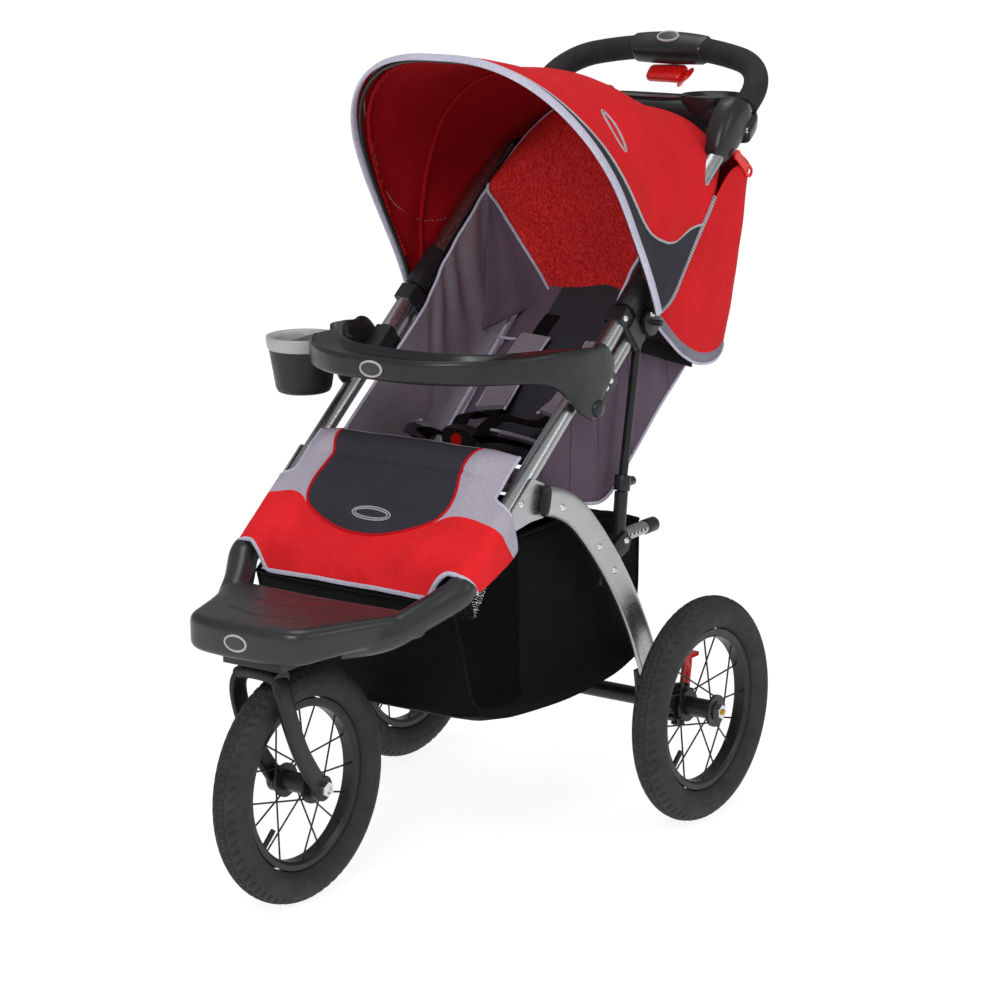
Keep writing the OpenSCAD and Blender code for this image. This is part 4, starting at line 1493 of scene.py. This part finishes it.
# The child tray's bar: (x, y, z middle, half width, half height) from the front to the side plate
TRAY_BAR = [
    (0, -173.5, 658, 34.5, 16.5), (55, -171, 658, 34, 16.5), (100, -155, 658, 29, 17),
    (134, -128, 657.5, 24.5, 17.5), (158, -97, 657, 20, 18.5), (174, -70, 655, 15.5, 21.5),
    (185, -46, 649, 10.5, 28), (192, -24, 640, 6.4, 37), (194.2, -4, 630.5, 5.4, 46),
    (194.4, 14, 625.5, 5.4, 50), (194.2, 26, 621, 5.2, 43), (194, 32, 616, 4.6, 28),
]
CUP = (-205, -92)


def clear_of_cup(p):
    """Moves a point of the bar out of the cup holder's round well."""
    away = Vector((p.x - CUP[0], p.y - CUP[1], 0))
    if away.length >= 46:
        return p
    return Vector((CUP[0], CUP[1], p.z)) + away.normalized() * 46


def tray_section(half_w, half_h):
    """Flat faces with rounded corners, and a shallow trough in the top where it is wide."""
    trough = 11 * ease(half_w, 19, 28)
    section = []
    for a, b in oval(half_w, half_h, mix(3.0, 6.0, ease(half_w, 6, 18)), 72):
        inner = 1 - ease(abs(a), 0.7 * half_w, 0.86 * half_w)
        section.append((a, b - trough * inner * ease(b, 0.5 * half_h, 0.9 * half_h)))
    return section


def make_child_tray():
    """A bar round the front of the child whose ends broaden into side plates."""
    path = smooth_path([p[:3] for p in TRAY_BAR], 6)
    size = smooth_path([(p[3], p[4], 0) for p in TRAY_BAR], 6)
    path = [Vector((-p.x, p.y, p.z)) for p in reversed(path[1:])] + path
    size = size[:0:-1] + size
    sections = [tray_section(s.x, s.y) for s in size]
    rings = [[clear_of_cup(p) for p in ring] for ring in sweep_rings(path, sections, Vector((0, 0, 1)))]
    bar = loft("tray_bar", rings, satin_plastic, "child_tray", 50)
    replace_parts(bar, "child_tray")
    boss = [(0.01, 5.5), (6, 5.2), (9.5, 4), (11.5, 1.5), (12, -3)]
    for sign, word in SIDES:
        profile = [(r, sign * h) for r, h in boss]
        cap = lathe(f"tray_boss_{word}", profile, (sign * 199, 9, 592), satin_plastic, "child_tray", "x", 32)
    make_cup_holder()


def make_cup_holder():
    """A ribbed black cup in a flared silver ring, joined to the bar by a flat flange."""
    centre = (CUP[0], CUP[1], 0)
    ring = [
        (39, 645), (39.2, 658), (41, 661.5), (45, 664), (48.6, 664.5), (49.6, 662), (49, 655),
        (47.4, 647.5), (45, 646),
    ]
    piece = lathe("cup_ring", ring + [ring[0]], centre, silver_plastic, "child_tray", "z", 72)
    outside = []
    for k in range(15):
        rib = 0.35 if k % 2 else 0.0
        outside.append((mix(45.6, 37.2, k / 14) + rib, 646 - k * 3.7))
    inside = [(33, 592.5), (36, 595), (38.8, 611), (39, 645)]
    profile = [(0.01, 592.5)] + inside + outside + [(35, 590), (31, 588), (0.01, 588)]
    cup = lathe("cup_well", profile, centre, black_plastic, "child_tray", "z", 72)
    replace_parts(cup, "tray_cup")
    rings = []
    for z, grow in ((648, -2), (649.5, 0), (658, 0), (660, -2)):
        section = oval(24 + grow, 40 + grow, 4.0, 40)
        rings.append([clear_of_cup(Vector((-182 + a, -74 + b, z))) for a, b in section])
    flange = loft("tray_flange", rings, satin_plastic, "child_tray", 40)


PARENT_BAR = [
    (182, 388, 904, 12, 12), (174, 400, 914, 20, 16), (160, 414, 922, 28, 19), (134, 428, 927, 34, 20),
    (80, 434, 928, 36, 20), (0, 434, 928, 36, 20),
]
# A side bracket's sections up the handle tube: (u, half width, back of the tube, front of it)
BRACKET = [
    (366, 11, -14, 14), (374, 14.5, -16, 20), (388, 17.5, -19, 29), (406, 19, -20.5, 37),
    (426, 19.5, -20, 41), (444, 19, -17, 40), (456, 17, -14, 30),
]
PARENT_CUP = [
    (0.01, 884), (33.4, 884), (34, 948), (41, 954), (42.6, 955), (44, 954), (44.2, 950),
    (42.4, 943), (39, 936), (36, 928), (34.8, 910), (34.4, 880), (32, 878), (0.01, 878),
]


def make_parent_tray():
    """The handle tray: a dark band that dips to its side brackets, with two cup collars."""
    half = smooth_path([p[:3] for p in PARENT_BAR], 9)
    size = smooth_path([(p[3], p[4], 0) for p in PARENT_BAR], 9)
    path = half + [Vector((-p.x, p.y, p.z)) for p in reversed(half[:-1])]
    size = size + size[-2::-1]
    sections = [oval(s.x, s.y, 3.4, 40) for s in size]
    bar = loft("parent_tray_bar", sweep_rings(path, sections, Vector((0, 0, 1))), satin_plastic, "handle", 50)
    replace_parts(bar, "parent_tray")
    for sign, word in SIDES:
        cup = lathe(f"parent_cup_{word}", PARENT_CUP, (sign * 108, 432, 0), satin_plastic, "handle", "z", 64)
        rings = []
        for u, w, back, front in BRACKET:
            middle, deep = (back + front) / 2, (front - back) / 2
            rings.append([on_line(sign * (171 + a), u, middle + b) for a, b in oval(w, deep, 2.8, 36)])
        bracket = loft(f"parent_tray_bracket_{word}", rings, satin_plastic, "handle", 55)
        screw = [(0.01, 1.8), (3, 1.6), (4, 0.8), (4.4, -0.6)]
        head = lathe(
            f"tray_screw_{word}", [(r, sign * h) for r, h in screw], on_line(sign * 190, 432, -8), zinc,
            "handle", "x", 24,
        )
    pocket = []
    for z, w, d in ((949, 64, 29), (947.4, 61, 26.5), (930, 59.5, 25.5), (915, 58, 25), (914, 20, 8)):
        pocket.append([Vector((a, 434 + b, z)) for a, b in oval(w, d, 6.0, 48)])
    lining = mesh_piece("parent_tray_pocket", *grid(pocket, closed=True), black_plastic, "handle", 40)


BAR_CENTRE = 189.7
BAR_R = 388.9


def on_push_bar(x, out, v):
    """A place on the bowed push bar at x, moved outwards along the tubes' plane and off it."""
    turn = math.asin(x / BAR_R)
    r = BAR_R + out
    return on_line(r * math.sin(turn), BAR_CENTRE + r * math.cos(turn), v)


def make_console():
    """The smooth housing in the middle of the push bar, fullest under its badge."""
    rings = []
    for i in range(33):
        x = mix(-59.5, 59.5, i / 32)
        full = 1 - (x / 60) ** 2
        near_end = ease(60 - abs(x), 0, 3)
        deep, tall = 16.5 + 2.0 * near_end + 3.6 * full, 16.2 + 1.4 * near_end + 1.6 * full
        rings.append([on_push_bar(x, a - 2.4 * full, b) for a, b in oval(deep, tall, 2.9, 40)])
    console = loft("console_shell", rings, satin_plastic, "handle", 55)
    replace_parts(console, "handle_console")


def make_trigger():
    """The red squeeze lever under the console, with a tongue turned down at its right."""
    rings = []
    widths = (
        (-39, 8, 3), (-37.5, 12, 5.5), (-33, 14, 7), (0, 15, 7.4), (19, 15, 7.4), (23, 13, 6.5),
        (25, 9, 4),
    )
    for x, deep, tall in widths:
        rings.append([on_push_bar(x, a - 27, b - 26) for a, b in oval(deep, tall, 3.2, 28)])
    lever = loft("trigger_lever", rings, red_plastic, "fold_trigger", 45)
    rings = []
    bend = (
        (40, -19, 9), (38, -20.5, 12), (26, -28, 12), (19, -34, 12), (15.5, -38, 11), (15, -39.5, 8),
    )
    for x, v, deep in bend:
        rings.append([on_push_bar(x + b, a - 30, v - b * 0.7) for a, b in oval(deep, 2.8, 3.2, 24)])
    tongue = loft("trigger_tongue", rings, red_plastic, "fold_trigger", 45)
    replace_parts(lever, "fold_trigger")


def make_badges():
    slope = (0, math.cos(SLOPE), math.sin(SLOPE))
    badge("console_badge", "console_badge", on_push_bar(0, 0, 20.7), (1, 0, 0), slope, "handle")
    badge("tray_badge", "tray_badge", (0, -209.8, 658), (1, 0, 0), (0, 0, 1), "child_tray")
    badge("footrest_badge", "footrest_badge", (0, -485.4, 364), (1, 0, 0), (0, 0, 1), "root")


make_basket()
make_rear_legs()
make_rivets()
finish_nodes()
make_wheels()
make_fork()
make_footrest()
make_child_tray()
make_parent_tray()
make_console()
make_trigger()
make_badges()

# ---------- camera and light ----------


def make_camera():
    data = bpy.data.cameras.new("camera")
    data.lens = 108.9
    data.sensor_width = 36
    data.shift_x = 0.006
    cam = bpy.data.objects.new("camera", data)
    cam.location = (2.3116, -3.1661, 1.3651)
    cam.rotation_euler = (math.radians(76.82), math.radians(0.5), math.radians(35.55))
    bpy.context.scene.collection.objects.link(cam)
    bpy.context.scene.camera = cam


def lamp(name, place, target, size, watts):
    data = bpy.data.lights.new(name, "AREA")
    data.size = size
    data.energy = watts
    light = bpy.data.objects.new(name, data)
    light.location = place
    aim = Vector(target) - Vector(place)
    light.rotation_euler = aim.to_track_quat("-Z", "Y").to_euler()
    bpy.context.scene.collection.objects.link(light)


def sky(towards, dim, bright):
    """A soft light all round, brighter on the side it comes from."""
    world = bpy.data.worlds.new("studio")
    world.use_nodes = True
    nodes, links = world.node_tree.nodes, world.node_tree.links
    place = nodes.new("ShaderNodeTexCoord")
    facing = nodes.new("ShaderNodeVectorMath")
    facing.operation = "DOT_PRODUCT"
    facing.inputs[1].default_value = Vector(towards).normalized()
    links.new(place.outputs["Generated"], facing.inputs[0])
    strength = nodes.new("ShaderNodeMapRange")
    strength.interpolation_type = "SMOOTHSTEP"
    for socket, value in zip(list(strength.inputs)[1:5], (-0.5, 0.9, dim, bright)):
        socket.default_value = value
    links.new(facing.outputs["Value"], strength.inputs["Value"])
    links.new(strength.outputs["Result"], nodes["Background"].inputs["Strength"])
    nodes["Background"].inputs["Color"].default_value = (1, 1, 1, 1)
    bpy.context.scene.world = world


def make_studio():
    made = Finish("paper_backdrop", 0.95)
    made.colour(made.shaded((0.25, 0.25, 0.25, 1), 0.995, 1.0, 0.5))
    made.shader.inputs["Emission Color"].default_value = (1, 1, 1, 1)
    made.shader.inputs["Emission Strength"].default_value = 0.88
    size = 60000
    rows = [[Vector((x * size, y * size, 0)) for x in (-1, 1)] for y in (-1, 1)]
    floor = mesh_piece("studio_floor", *grid(rows), made.material, None)
    bpy.context.scene.view_settings.view_transform = "Standard"
    sky((0.5, -0.7, 0.6), 0.3, 0.55)
    lamp("key", (1.2, -3.2, 2.8), (0, 0, 0.5), 1.4, 60)
    lamp("side", (3.4, 0.4, 2.2), (0, 0, 0.5), 1.2, 14)
    lamp("top", (-0.4, 0.8, 3.4), (0, 0, 0.6), 1.6, 24)


make_camera()
make_studio()
